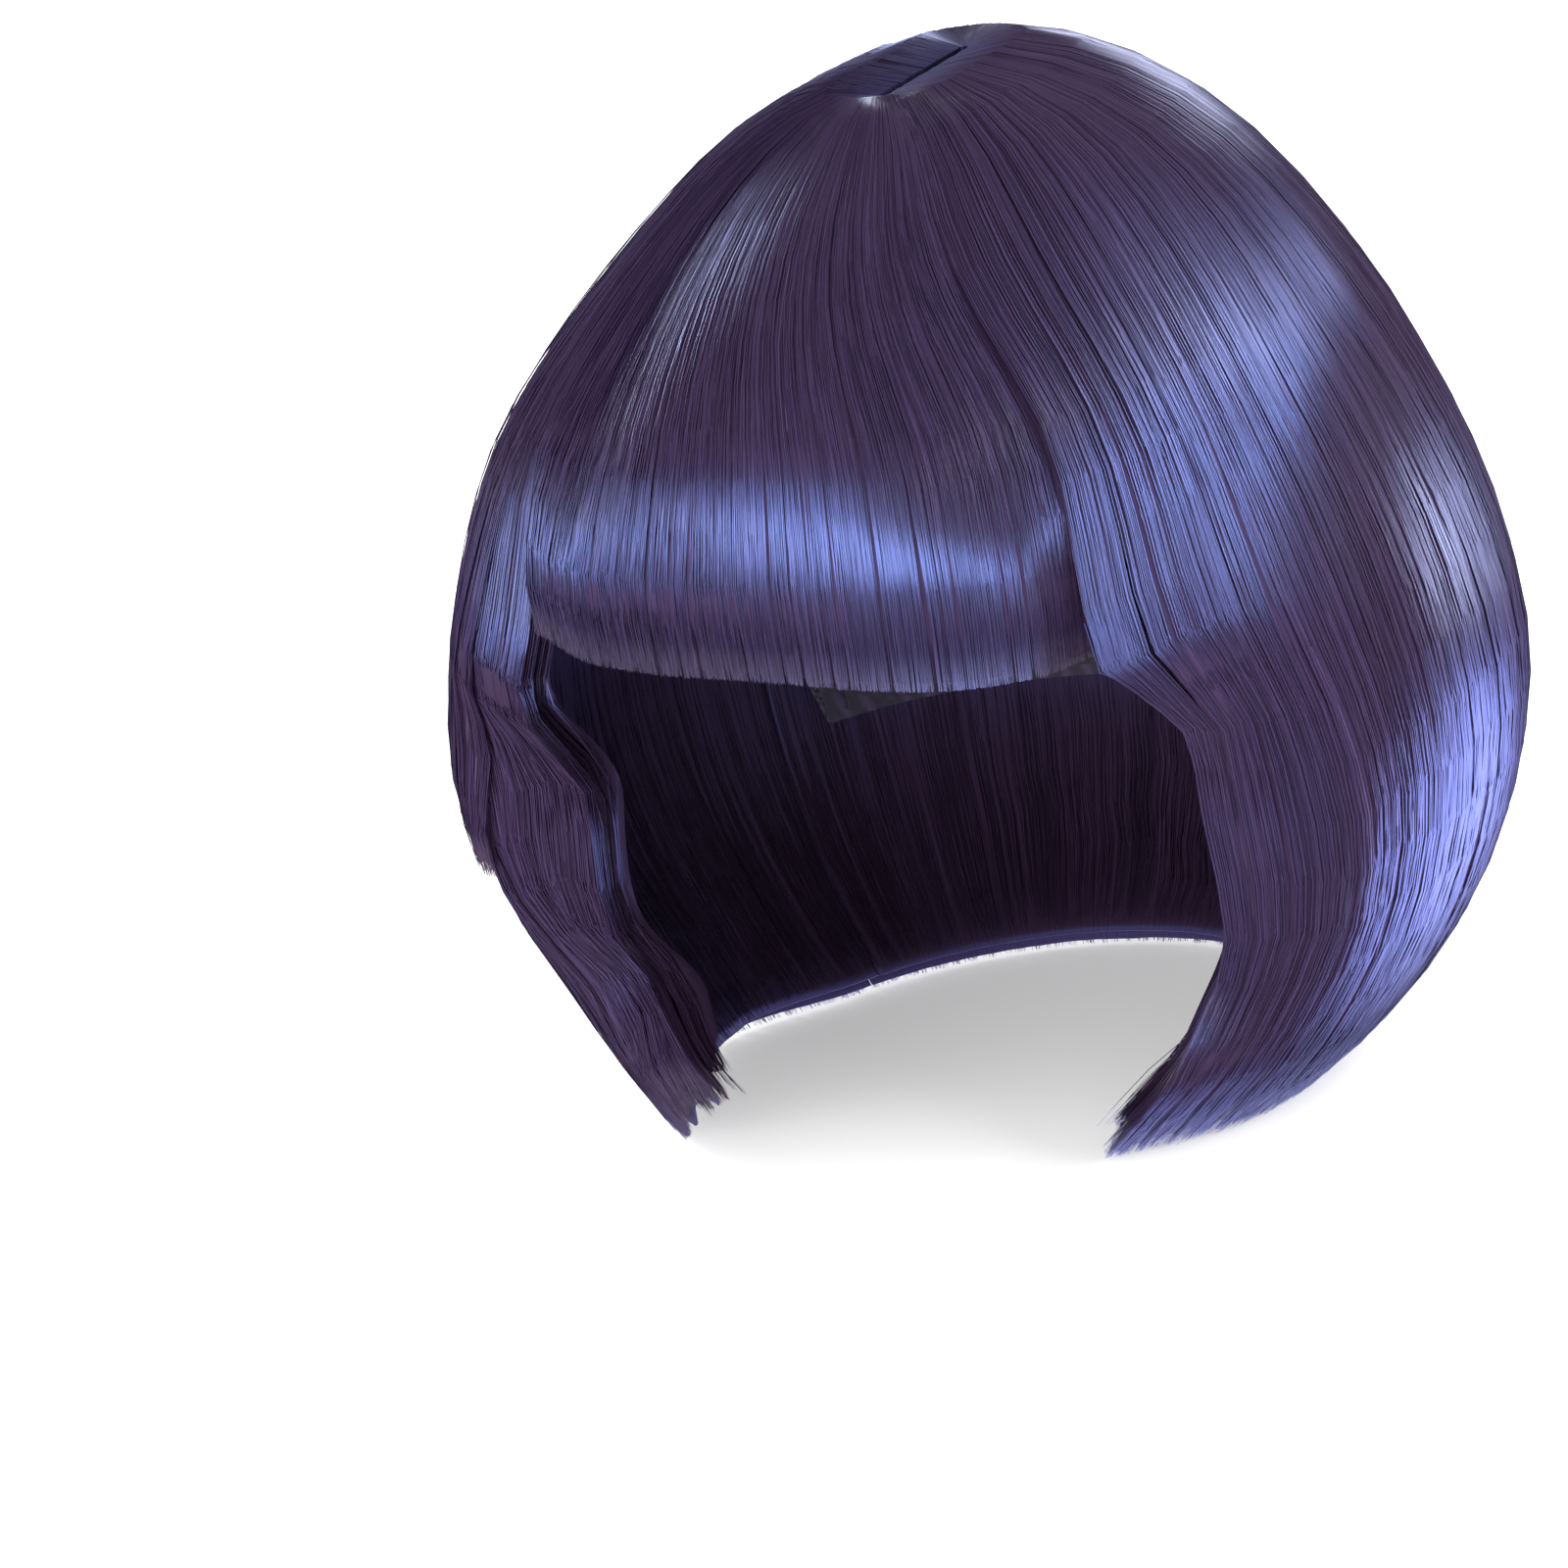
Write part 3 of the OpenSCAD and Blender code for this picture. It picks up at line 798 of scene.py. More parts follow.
class StrandTree(Nodes):
    """Geometry Nodes that lay strands along the columns of a flow sheet."""

    LARGE_SHARE = 0.22
    CLUMP_WANDER = (0.7, 1.4)
    CLUMP_POWER = 0.8
    WANDER = (2.2, 3.7)
    FLYAWAY_DRIFT = 0.08
    FLYAWAY_POWER = 2.5
    EDGE_BAND = 0.045
    TRIM_POWER = 2.0
    SWAY_TURNS = (1.5, 2.0)
    ROLL_TURNS = 3.0
    SHADE_OWN = 0.55
    SHADE_SHARED = 0.225
    TAPER = (10.0, 0.7)
    WIDTHS = (0.75, 0.5)
    PROFILE_CORNERS = 3

    def __init__(self) -> None:
        """Make the tree, its sockets and its nodes."""
        super().__init__(bpy.data.node_groups.new("strands_on_a_flow_sheet", "GeometryNodeTree"))
        face = self.tree.interface
        face.new_socket("Flow Sheet", in_out="INPUT", socket_type="NodeSocketGeometry")
        for item in fields(StrandRecipe):
            kind = "NodeSocketInt" if item.type is int else "NodeSocketFloat"
            name = StrandRecipe.socket_name(item.name)
            face.new_socket(name, in_out="INPUT", socket_type=kind)
        face.new_socket("Material", in_out="INPUT", socket_type="NodeSocketMaterial")
        face.new_socket("Strands", in_out="OUTPUT", socket_type="NodeSocketGeometry")
        self.inputs = self.node("NodeGroupInput").outputs
        self.strand = self.value("GeometryNodeCurveOfPoint")
        self.along = self.value("GeometryNodeSplineParameter")
        self.build()

    def given(self, name: str) -> Field:
        """One input of the tree, by its name in the recipe."""
        return Field(self.tree, self.inputs[StrandRecipe.socket_name(name)])

    def random(self, identity: Field, salt: int) -> Field:
        """A random share per identity."""
        inputs = {0: self.given("seed"), 1: salt}
        seed = self.value("FunctionNodeIntegerMath", inputs, operation="ADD")
        inputs = {7: identity, 8: seed}
        return self.value("FunctionNodeRandomValue", inputs, output=1, data_type="FLOAT")

    def clump(self, v: Field, share: float, salt: int) -> tuple[Field, Field]:
        """Draw strands together towards their ends.

        Args:
            v: place across the sheet.
            share: number of clumps, as a share of the tree's own input.
            salt: what is added to the seed.

        Returns:
            The new place across the sheet, and a random share per clump.
        """
        scale, strength = self.CLUMP_WANDER
        count = self.given("clumps") * share
        place = v * count
        inputs = {"W": place + float(salt), "Scale": scale, "Detail": 0.0}
        uneven = self.value("ShaderNodeTexNoise", inputs, noise_dimensions="1D")
        place = place + uneven * strength
        whole = place.apply("FLOOR", place)
        away = whole + 0.5 - place
        pull = self.given("clump_pull") * self.along ** self.CLUMP_POWER
        identity = self.value("FunctionNodeFloatToInt", {0: whole})
        return v + away * pull / count, self.random(identity, salt)

    def sample(self, attribute: str, place: Field) -> Field:
        """Read a vector of the flow sheet at a place on its map."""
        kind = "FLOAT_VECTOR"
        value = self.value("GeometryNodeInputNamedAttribute", {0: attribute}, data_type=kind)
        flow = self.value("GeometryNodeInputNamedAttribute", {0: "flow"}, data_type=kind)
        inputs = {0: self.given("flow_sheet"), 1: value, 2: flow, 3: place}
        return self.value("GeometryNodeSampleUVSurface", inputs, data_type=kind)

    def across(self) -> Lay:
        """Where the strands run across the sheet."""
        strand, along = self.strand, self.along
        first = (strand + self.random(strand, 1)) / self.given("count")
        v, large = self.clump(first, self.LARGE_SHARE, 20)
        v, small = self.clump(v, 1.0, 30)
        speed, spread = self.WANDER
        vector = self.joined(along * speed, strand * spread)
        inputs = {"Vector": vector, "Scale": 1.0, "Detail": 0.0}
        wander = self.value("ShaderNodeTexNoise", inputs, noise_dimensions="2D")
        crossing = (wander - 0.5) * self.given("crossing")
        flies = self.random(strand, 2) < self.given("flyaway_share")
        drift = (self.random(strand, 3) - 0.5) * self.FLYAWAY_DRIFT * flies * along
        v = v + crossing * along + drift
        is_edge = self.random(strand, 12) < self.given("edge_share")
        v = v.towards(self.random(strand, 13) * self.EDGE_BAND, is_edge).held(0.0, 1.0)
        return Lay(v, is_edge, flies, large, small)

    def depth(self, lay: Lay) -> Field:
        """How deep each point of a strand lies under the flow sheet, in metres."""
        strand, along, given, random = self.strand, self.along, self.given, self.random
        is_inner = random(strand, 5) < given("inner_share")
        spread = given("scatter") * random(strand, 6)
        outer, inner = given("outer_depth") + spread, given("inner_depth") - spread
        depth = outer.towards(inner, is_inner)
        depth = depth.towards(random(strand, 14) * given("edge_depth"), lay.is_edge)
        lift = (lay.large + lay.small - 1.0) * given("clump_lift") * (1.0 - is_inner)
        fewest, more = self.SWAY_TURNS
        turns = random(strand, 10) * more + fewest
        sway = (along * turns + random(strand, 11)).sine()
        sway = (sway + 1.0) * given("sway") * along
        roll = (along * self.ROLL_TURNS + lay.large).sine() * lift * along
        depth = depth + sway + roll + abs(lift)
        flight = lay.flies * given("flyaway_lift") * (along * 0.5).sine()
        return depth - flight * random(strand, 7) ** self.FLYAWAY_POWER

    def straight_strands(self) -> Field:
        """As many straight curves as strands are wanted."""
        line = self.value("GeometryNodeCurvePrimitiveLine")
        inputs = {"Curve": line, "Count": self.given("steps")}
        curve = self.value("GeometryNodeResampleCurve", inputs)
        points = self.value("GeometryNodePoints", {"Count": self.given("count")})
        inputs = {"Points": points, "Instance": curve}
        return self.value(
            "GeometryNodeRealizeInstances", {0: self.value("GeometryNodeInstanceOnPoints", inputs)}
        )

    def build(self) -> None:
        """Wire the whole tree."""
        strand, along, random = self.strand, self.along, self.random
        lay = self.across()
        u = along * (1.0 - random(strand, 4) ** self.TRIM_POWER * self.given("trim"))
        place = self.joined(lay.v, u)
        outward = self.sample("outward", place)
        inputs = {0: outward, "Scale": self.depth(lay) * -1.0}
        offset = self.value("ShaderNodeVectorMath", inputs, operation="SCALE")
        inputs = {0: self.sample("position", place), 1: offset}
        final = self.value("ShaderNodeVectorMath", inputs, operation="ADD")
        inputs = {"Geometry": self.straight_strands(), "Position": final}
        curves = self.value("GeometryNodeSetPosition", inputs)

        shade = random(strand, 8) * self.SHADE_OWN + (lay.large + lay.small) * self.SHADE_SHARED
        curves = self.stored(curves, "shade", shade)
        curves = self.stored(curves, "along", u)
        curves = self.stored(curves, "outward", outward, "FLOAT_VECTOR")
        power, loss = self.TAPER
        taper = 1.0 - along ** power * loss
        narrowest, wider = self.WIDTHS
        width = random(strand, 9) * wider + narrowest
        inputs = {"Resolution": self.PROFILE_CORNERS, "Radius": 1.0}
        profile = self.value("GeometryNodeCurvePrimitiveCircle", inputs)
        inputs = {
            "Curve": curves, "Profile Curve": profile,
            "Scale": self.given("radius") * width * taper, "Fill Caps": True,
        }
        mesh = self.value("GeometryNodeCurveToMesh", inputs)
        inputs = {"Geometry": mesh, "Shade Smooth": True}
        mesh = self.value("GeometryNodeSetShadeSmooth", inputs)
        mesh = self.value("GeometryNodeRealizeInstances", {0: mesh})
        inputs = {"Geometry": mesh, "Material": self.inputs["Material"]}
        mesh = self.value("GeometryNodeSetMaterial", inputs)
        self.node("NodeGroupOutput", {0: mesh})

    def joined(self, x: Field, y: Field) -> Field:
        """A vector from two numbers."""
        return self.value("ShaderNodeCombineXYZ", {0: x, 1: y})

    def stored(self, geometry: Field, name: str, value: Field, kind: str = "FLOAT") -> Field:
        """The geometry with a named value kept on its points."""
        inputs = {0: geometry, 2: name, 3: value}
        return self.value(
            "GeometryNodeStoreNamedAttribute", inputs, data_type=kind, domain="POINT"
        )

    def grow(
        self, name: str, sheet: bpy.types.Object, recipe: StrandRecipe, material: bpy.types.Material
    ) -> bpy.types.Object:
        """Make the strands of one layer as a plain mesh.

        Args:
            name: the new object's name.
            sheet: the flow sheet, which is used up.
            recipe: the tree's inputs.
            material: what the strands are made of.

        Returns:
            The strands, with no modifier left.
        """
        modifier = sheet.modifiers.new("strands", "NODES")
        modifier.node_group = self.tree
        wanted = {**recipe.by_socket(), "Material": material}
        for item in self.tree.interface.items_tree:
            if item.in_out == "INPUT" and item.name in wanted:
                modifier[item.identifier] = wanted[item.name]
        graph = bpy.context.evaluated_depsgraph_get()
        mesh = bpy.data.meshes.new_from_object(
            sheet.evaluated_get(graph), preserve_all_data_layers=True, depsgraph=graph
        )
        mesh.name = name
        thing = bpy.data.objects.new(name, mesh)
        bpy.context.scene.collection.objects.link(thing)
        bpy.data.objects.remove(sheet)
        return thing


# ---------------------------------------------------------------------------- materials


class Shading(Nodes):
    """A node material in the making: a shader wired to its output."""

    def __init__(self, name: str) -> None:
        """Start an empty material."""
        self.material = bpy.data.materials.new(name)
        self.material.use_nodes = True
        super().__init__(self.material.node_tree)
        self.tree.nodes.clear()
        self.shader = self.node("ShaderNodeBsdfPrincipled")
        self.output = self.node("ShaderNodeOutputMaterial", {"Surface": self.shader.outputs[0]})

    def ramp(self, value: Field, stops: Stops) -> Field:
        """A colour ramp of sRGB stops."""
        node = self.node("ShaderNodeValToRGB", {"Fac": value})
        elements = node.color_ramp.elements
        while len(elements) < len(stops):
            elements.new(0.5)
        for element, (place, colour) in zip(elements, stops):
            element.position = place
            element.color = linear(colour)
        return Field(self.tree, node.outputs[0])

    def blended(self, share: Field, first: object, second: object) -> Field:
        """The first colour where the share is 0, and the second where it is 1."""
        inputs = {0: share, 6: first, 7: second}
        return self.value("ShaderNodeMix", inputs, output=2, data_type="RGBA")

    def bump(self, height: Field, strength: float, distance: float, invert: bool = False) -> Field:
        """A normal for a height, with the distance in millimetres."""
        inputs = {"Height": height, "Strength": strength, "Distance": distance * MM}
        return self.value("ShaderNodeBump", inputs, invert=invert)

    def ray(self, kind: str) -> Field:
        """1 for rays of one kind, and 0 for others."""
        return self.value("ShaderNodeLightPath", output=f"Is {kind} Ray")

    def kept(self, name: str, output: str) -> Field:
        """What the strands keep under a name."""
        return self.value("ShaderNodeAttribute", output=output, attribute_name=name)

    def place(self) -> Field:
        """Position on the object, in metres."""
        return self.value("ShaderNodeTexCoord", output="Object")

    def finish(self, inputs: dict) -> bpy.types.Material:
        """Set the shader's inputs by name, and return the material."""
        wire(self.tree, self.shader, inputs)
        return self.material


@dataclass(frozen=True)
class FibreFinish:
    """Heat-set synthetic fibre: every strand has its own shade, and all share a cool shine.

    Attributes:
        shades: colours of the strands by their own share.
        worn: how far their cut ends take the painted highlight colour.
        level: strength of the wide shine.
        coat: strength of the narrow shine over it.
        tip_highlight_colour: a pale colour painted on the cut ends for the light that they catch.
        tip_highlight_from: place along a strand where the painted highlight starts.
        tint: colour of the wide shine.
        index: refractive index of the fibre.
        roughness: roughness of the wide shine.
        root_roughness: roughness at the roots.
        root_length: place along a strand where the roots' roughness ends.
        coat_roughness: roughness of the narrow shine.
        shared_normal: share of the hair's own form, rather than the strand's, in the shine.
        streak_scale: streaks of the mass across and along the hair.
        mass_level: strength of the mass's shine.
        mass_roughness: roughness of the mass.
        brushed: how far the mass's shine is drawn out.
    """

    shades: Stops
    worn: float
    level: float
    coat: float
    tip_highlight_colour: str = "#9a8a9c"
    tip_highlight_from: float = 0.95
    tint: str = "#86a2ff"
    index: float = 1.75
    roughness: float = 0.28
    root_roughness: float = 0.7
    root_length: float = 0.05
    coat_roughness: float = 0.2
    shared_normal: float = 0.8
    streak_scale: tuple[float, float, float] = (260.0, 3.0, 1.0)
    mass_level: float = 0.4
    mass_roughness: float = 0.5
    brushed: float = 0.8

    def strand(self, name: str) -> bpy.types.Material:
        """The finish of loose strands."""
        make = Shading(name)
        shade, along = make.kept("shade", "Fac"), make.kept("along", "Fac")
        # painted highlight: the last part of each strand is painted pale for the light that the cut
        # ends catch
        inputs = {0: along, 1: self.tip_highlight_from, 2: 1.0, 3: 0.0, 4: self.worn}
        ends = make.value("ShaderNodeMapRange", inputs)
        colour = make.ramp(shade, self.shades)
        inputs = {0: along, 1: 0.0, 2: self.root_length, 3: self.root_roughness, 4: self.roughness}
        return make.finish({
            "Base Color": make.blended(ends, colour, linear(self.tip_highlight_colour)),
            "Normal": self.normal(make),
            "Roughness": make.value("ShaderNodeMapRange", inputs),
            "IOR": self.index,
            "Specular IOR Level": self.level,
            "Specular Tint": linear(self.tint),
            "Coat Weight": self.coat,
            "Coat Roughness": self.coat_roughness,
        })

    def normal(self, make: Shading) -> Field:
        """A strand's own normal, turned towards that of the hair's form."""
        outward = make.value(
            "ShaderNodeVectorTransform", {0: make.kept("outward", "Vector")},
            vector_type="NORMAL", convert_from="OBJECT", convert_to="WORLD",
        )
        own = make.value("ShaderNodeNewGeometry", output="Normal")
        inputs = {0: own, 1: outward}
        facing = make.value(
            "ShaderNodeVectorMath", inputs, output="Value", operation="DOT_PRODUCT"
        )
        inputs = {0: outward, "Scale": facing.apply("SIGN", facing)}
        outward = make.value("ShaderNodeVectorMath", inputs, operation="SCALE")
        inputs = {"Factor": self.shared_normal, 4: own, 5: outward}
        mixed = make.value("ShaderNodeMix", inputs, output=1, data_type="VECTOR")
        return make.value("ShaderNodeVectorMath", {0: mixed}, operation="NORMALIZE")

    def mass(self, name: str) -> bpy.types.Material:
        """The finish of the mass under the strands: fine streaks and brushed gloss."""
        make = Shading(name)
        flow = make.value("ShaderNodeUVMap", uv_map="flow")
        inputs = {"Vector": flow, "Scale": self.streak_scale}
        inputs = {"Vector": make.value("ShaderNodeMapping", inputs), "Scale": 1.0, "Detail": 3.0}
        streaks = make.value("ShaderNodeTexNoise", inputs)
        darkest, middling = self.shades[0][1], self.shades[2][1]
        return make.finish({
            "Base Color": make.ramp(streaks, ((0.3, darkest), (0.7, middling))),
            "Normal": make.bump(streaks, 0.4, 0.4),
            "Tangent": make.value("ShaderNodeTangent", direction_type="UV_MAP", uv_map="flow"),
            "Roughness": self.mass_roughness,
            "Specular IOR Level": self.mass_level,
            "Specular Tint": linear(self.tint),
            "Anisotropic": self.brushed,
        })


@dataclass(frozen=True)
class WovenFinish:
    """A woven cloth of two sets of threads.

    Attributes:
        name: the material's name.
        threads: spacing of the threads across and of those along, in millimetres.
        dark: colour between the threads.
        light: colour on top of them.
        note: what the cloth really is.
        per_band: how many threads one raised band has.
        wear_scale: how fine the wear is.
        roughness: roughness of the cloth.
        sheen: strength of the soft shine of its loose fibres.
    """

    name: str
    threads: Pair
    dark: str
    light: str
    note: str
    per_band: float = 5.0
    wear_scale: float = 45.0
    roughness: float = 0.8
    sheen: float = 0.25

    def make(self) -> bpy.types.Material:
        """Make the material."""
        make = Shading(self.name)
        make.material["real_material"] = self.note
        where = make.place()
        waves = []
        for spacing, axis in zip(self.threads, ("X", "DIAGONAL")):
            scale = 0.1 * math.pi / (spacing * MM * self.per_band)
            inputs = {"Vector": where, "Scale": scale, "Distortion": 0.6, "Detail": 1.0}
            waves.append(
                make.value("ShaderNodeTexWave", inputs, output="Fac", bands_direction=axis)
            )
        high = waves[0] * waves[1]
        inputs = {"Vector": where, "Scale": self.wear_scale, "Detail": 3.0}
        worn = make.value("ShaderNodeTexNoise", inputs)
        return make.finish({
            "Base Color": make.ramp(worn * 0.5 + high, ((0.15, self.dark), (1.1, self.light))),
            "Normal": make.bump(high, 0.6, 0.3),
            "Roughness": self.roughness,
            "Sheen Weight": self.sheen,
            "Sheen Roughness": 0.5,
        })


class Cells(Enum):
    """Which distance of a surface's cells is drawn."""

    EDGES = "DISTANCE_TO_EDGE"
    MIDDLES = "F1"


@dataclass(frozen=True)
class CellFinish:
    """A surface of small cells: an open net, hooks and loops, or a skin-like sheet.

    Attributes:
        name: the material's name.
        size: width of a cell, in millimetres.
        cells: which distance is drawn.
        stops: colours by that distance.
        note: what it really is.
        roughness: roughness of the surface.
    """

    name: str
    size: float
    cells: Cells
    stops: Stops
    note: str
    roughness: float = 0.75

    def make(self) -> bpy.types.Material:
        """Make the material."""
        make = Shading(self.name)
        make.material["real_material"] = self.note
        inputs = {"Vector": make.place(), "Scale": 1.0 / (self.size * MM)}
        distance = make.value(
            "ShaderNodeTexVoronoi", inputs, output="Distance", feature=self.cells.value
        )
        return make.finish({
            "Base Color": make.ramp(distance, self.stops),
            "Normal": make.bump(distance, 0.5, 0.3, invert=self.cells is Cells.EDGES),
            "Roughness": self.roughness,
        })


@dataclass(frozen=True)
class Spot:
    """A soft ellipse on the floor.

    Attributes:
        fade: distances where the fade starts and ends, in half lengths.
        values: the values before and after it.
        middle: its middle, in metres.
        size: its two half lengths, in metres.
        turn: angle of its first axis from X, in degrees.
    """

    fade: Pair
    values: Pair
    middle: Pair = (0.0, 0.0)
    size: Pair = (1.0, 1.0)
    turn: float = 0.0

    def value(self, make: Shading, where: Field) -> Field:
        """The value at a position on the floor."""
        inputs = {
            "Vector": where, "Location": (*self.middle, 0.0),
            "Rotation": (0.0, 0.0, math.radians(self.turn)), "Scale": (*self.size, 1.0),
        }
        moved = make.value("ShaderNodeMapping", inputs, vector_type="TEXTURE")
        away = make.value("ShaderNodeVectorMath", {0: moved}, output="Value", operation="LENGTH")
        inputs = dict(enumerate((away, *self.fade, *self.values)))
        return make.value("ShaderNodeMapRange", inputs, interpolation_type="SMOOTHSTEP")


@dataclass(frozen=True)
class FloorFinish:
    """Matt white paint that glows a little, so that it stays pale, and glows less under the wig as
    a painted shadow.

    Attributes:
        shade: the glow that is seen, weaker under the wig: a painted shadow.
        under: the glow below the wig that shows in the fibre's gloss only.
        beside: the same, beside it.
        stops: colours of the paint.
        mirrored: dark grey that the paint takes in glossy rays only, a painted shade in the fibre's
            reflections.
        cool: colour of the glow in the gloss.
        scattered: the glow's strength on matt surfaces.
        roughness: roughness of the paint.
    """

    # painted shadow: the glow that is seen drops to half under the wig
    shade: Spot = Spot((0.05, 0.24), (0.25, 0.5), middle=(0.0, 0.01))
    under: Spot = Spot((0.13, 0.16), (3.5, 0.0))
    beside: Spot = Spot((0.6, 1.0), (9.0, 0.0), middle=(0.27, 0.17), size=(0.3, 0.07), turn=49.0)
    stops: Stops = ((0.3, "#eeeeee"), (0.7, "#f1f1f1"))
    mirrored: str = "#303030"
    cool: str = "#c8cfff"
    scattered: float = 0.3
    roughness: float = 0.9

    def make(self) -> bpy.types.Material:
        """Make the material, which is clear from below."""
        make = Shading("painted_floor")
        where = make.place()
        noise = make.value("ShaderNodeTexNoise", {"Vector": where, "Scale": 3.0, "Detail": 2.0})
        glossy = make.ray("Glossy")
        under = self.under.value(make, where)
        pool = under.apply("MAXIMUM", under, self.beside.value(make, where))
        # painted shadow in the glow that the camera sees, over the paint's own shadows from the
        # lamps
        strength = make.ray("Camera") * self.shade.value(make, where) + glossy * pool
        below = make.value("ShaderNodeNewGeometry", output="Backfacing")
        clear = make.value("ShaderNodeBsdfTransparent")
        inputs = {0: below, 1: make.shader.outputs[0], 2: clear}
        seen = make.value("ShaderNodeMixShader", inputs)
        wire(make.tree, make.output, {"Surface": seen})
        paint = make.ramp(noise, self.stops)
        return make.finish({
            # painted shade in reflections: the white paint turns dark grey in glossy rays
            "Base Color": make.blended(glossy, paint, linear(self.mirrored)),
            "Roughness": self.roughness,
            "Emission Color": make.blended(glossy, WHITE, linear(self.cool)),
            "Emission Strength": strength + make.ray("Diffuse") * self.scattered,
        })


FIBRES = {
    Slot.HAIR: FibreFinish(
        (
            (0.05, "#2d2033"), (0.35, "#38283f"), (0.6, "#3f2c47"), (0.85, "#473256"),
            (0.98, "#6e5472"),
        ),
        # the outer hair's cut ends take a quarter of the painted tip highlight
        worn=0.25, level=1.0, coat=0.28,
    ),
    # painted shade: the inner hair is the outer hair's fibre in a little darker shades, for the
    # shadow that it lies in
    Slot.INNER: FibreFinish(
        ((0.1, "#291e2f"), (0.45, "#34263b"), (0.7, "#3b2b44"), (0.9, "#443150")),
        worn=0.0, level=0.3, coat=0.0,
    ),
}

CAP_FINISHES = {
    Slot.NET: CellFinish(
        "stretch_net", 1.5, Cells.EDGES, ((0.06, "#3a3146"), (0.12, "#231c2b"), (0.3, "#110e15")),
        "knitted stretch net, seen as fine cords round dark openings",
    ),
    Slot.TAPE: WovenFinish(
        "cap_tape", (0.9, 0.7), "#1b1424", "#382c46", "woven elastic and ribbon tape"
    ),
    Slot.SKIN: CellFinish(
        "skin_strip", 0.8, Cells.MIDDLES, ((0.05, "#8a6f60"), (0.18, "#b39a88"), (0.5, "#bda593")),
        "thin skin-like sheet with a hair knotted into every pore",
    ),
    Slot.WEFT: WovenFinish(
        "weft_stitching", (1.6, 0.35), "#1a1322", "#46365a",
        "machine-sewn weft: fibre ends under rows of thread",
    ),
    Slot.STRAP: WovenFinish(
        "strap_webbing", (0.6, 1.2), "#18131e", "#37303f", "narrow elastic webbing"
    ),
    Slot.HOOK: CellFinish(
        "hook_and_loop", 0.7, Cells.MIDDLES, ((0.1, "#37323d"), (0.3, "#1d1923"), (0.6, "#100d13")),
        "hook-and-loop tape, seen as its rows of tiny hooks",
    ),
}


# ---------------------------------------------------------------------------- the wig


@dataclass(frozen=True)
class Cap:
    """The cap under the hair, which keeps its construction meshes.

    Attributes:
        nodes: the loaded construction nodes by name.
        slots: the record's material slot of each node.
    """

    nodes: dict[str, bpy.types.Object]
    slots: dict[str, str]

    def dress(self) -> None:
        """Give the cap's nodes their materials."""
        made = {slot: finish.make() for slot, finish in CAP_FINISHES.items()}
        for name, thing in self.nodes.items():
            slot = Slot(self.slots[name])
            if slot in made:
                thing.data.materials.clear()
                thing.data.materials.append(made[slot])
        LOG.info("cap: %d materials on %d nodes", len(made), len(self.nodes))


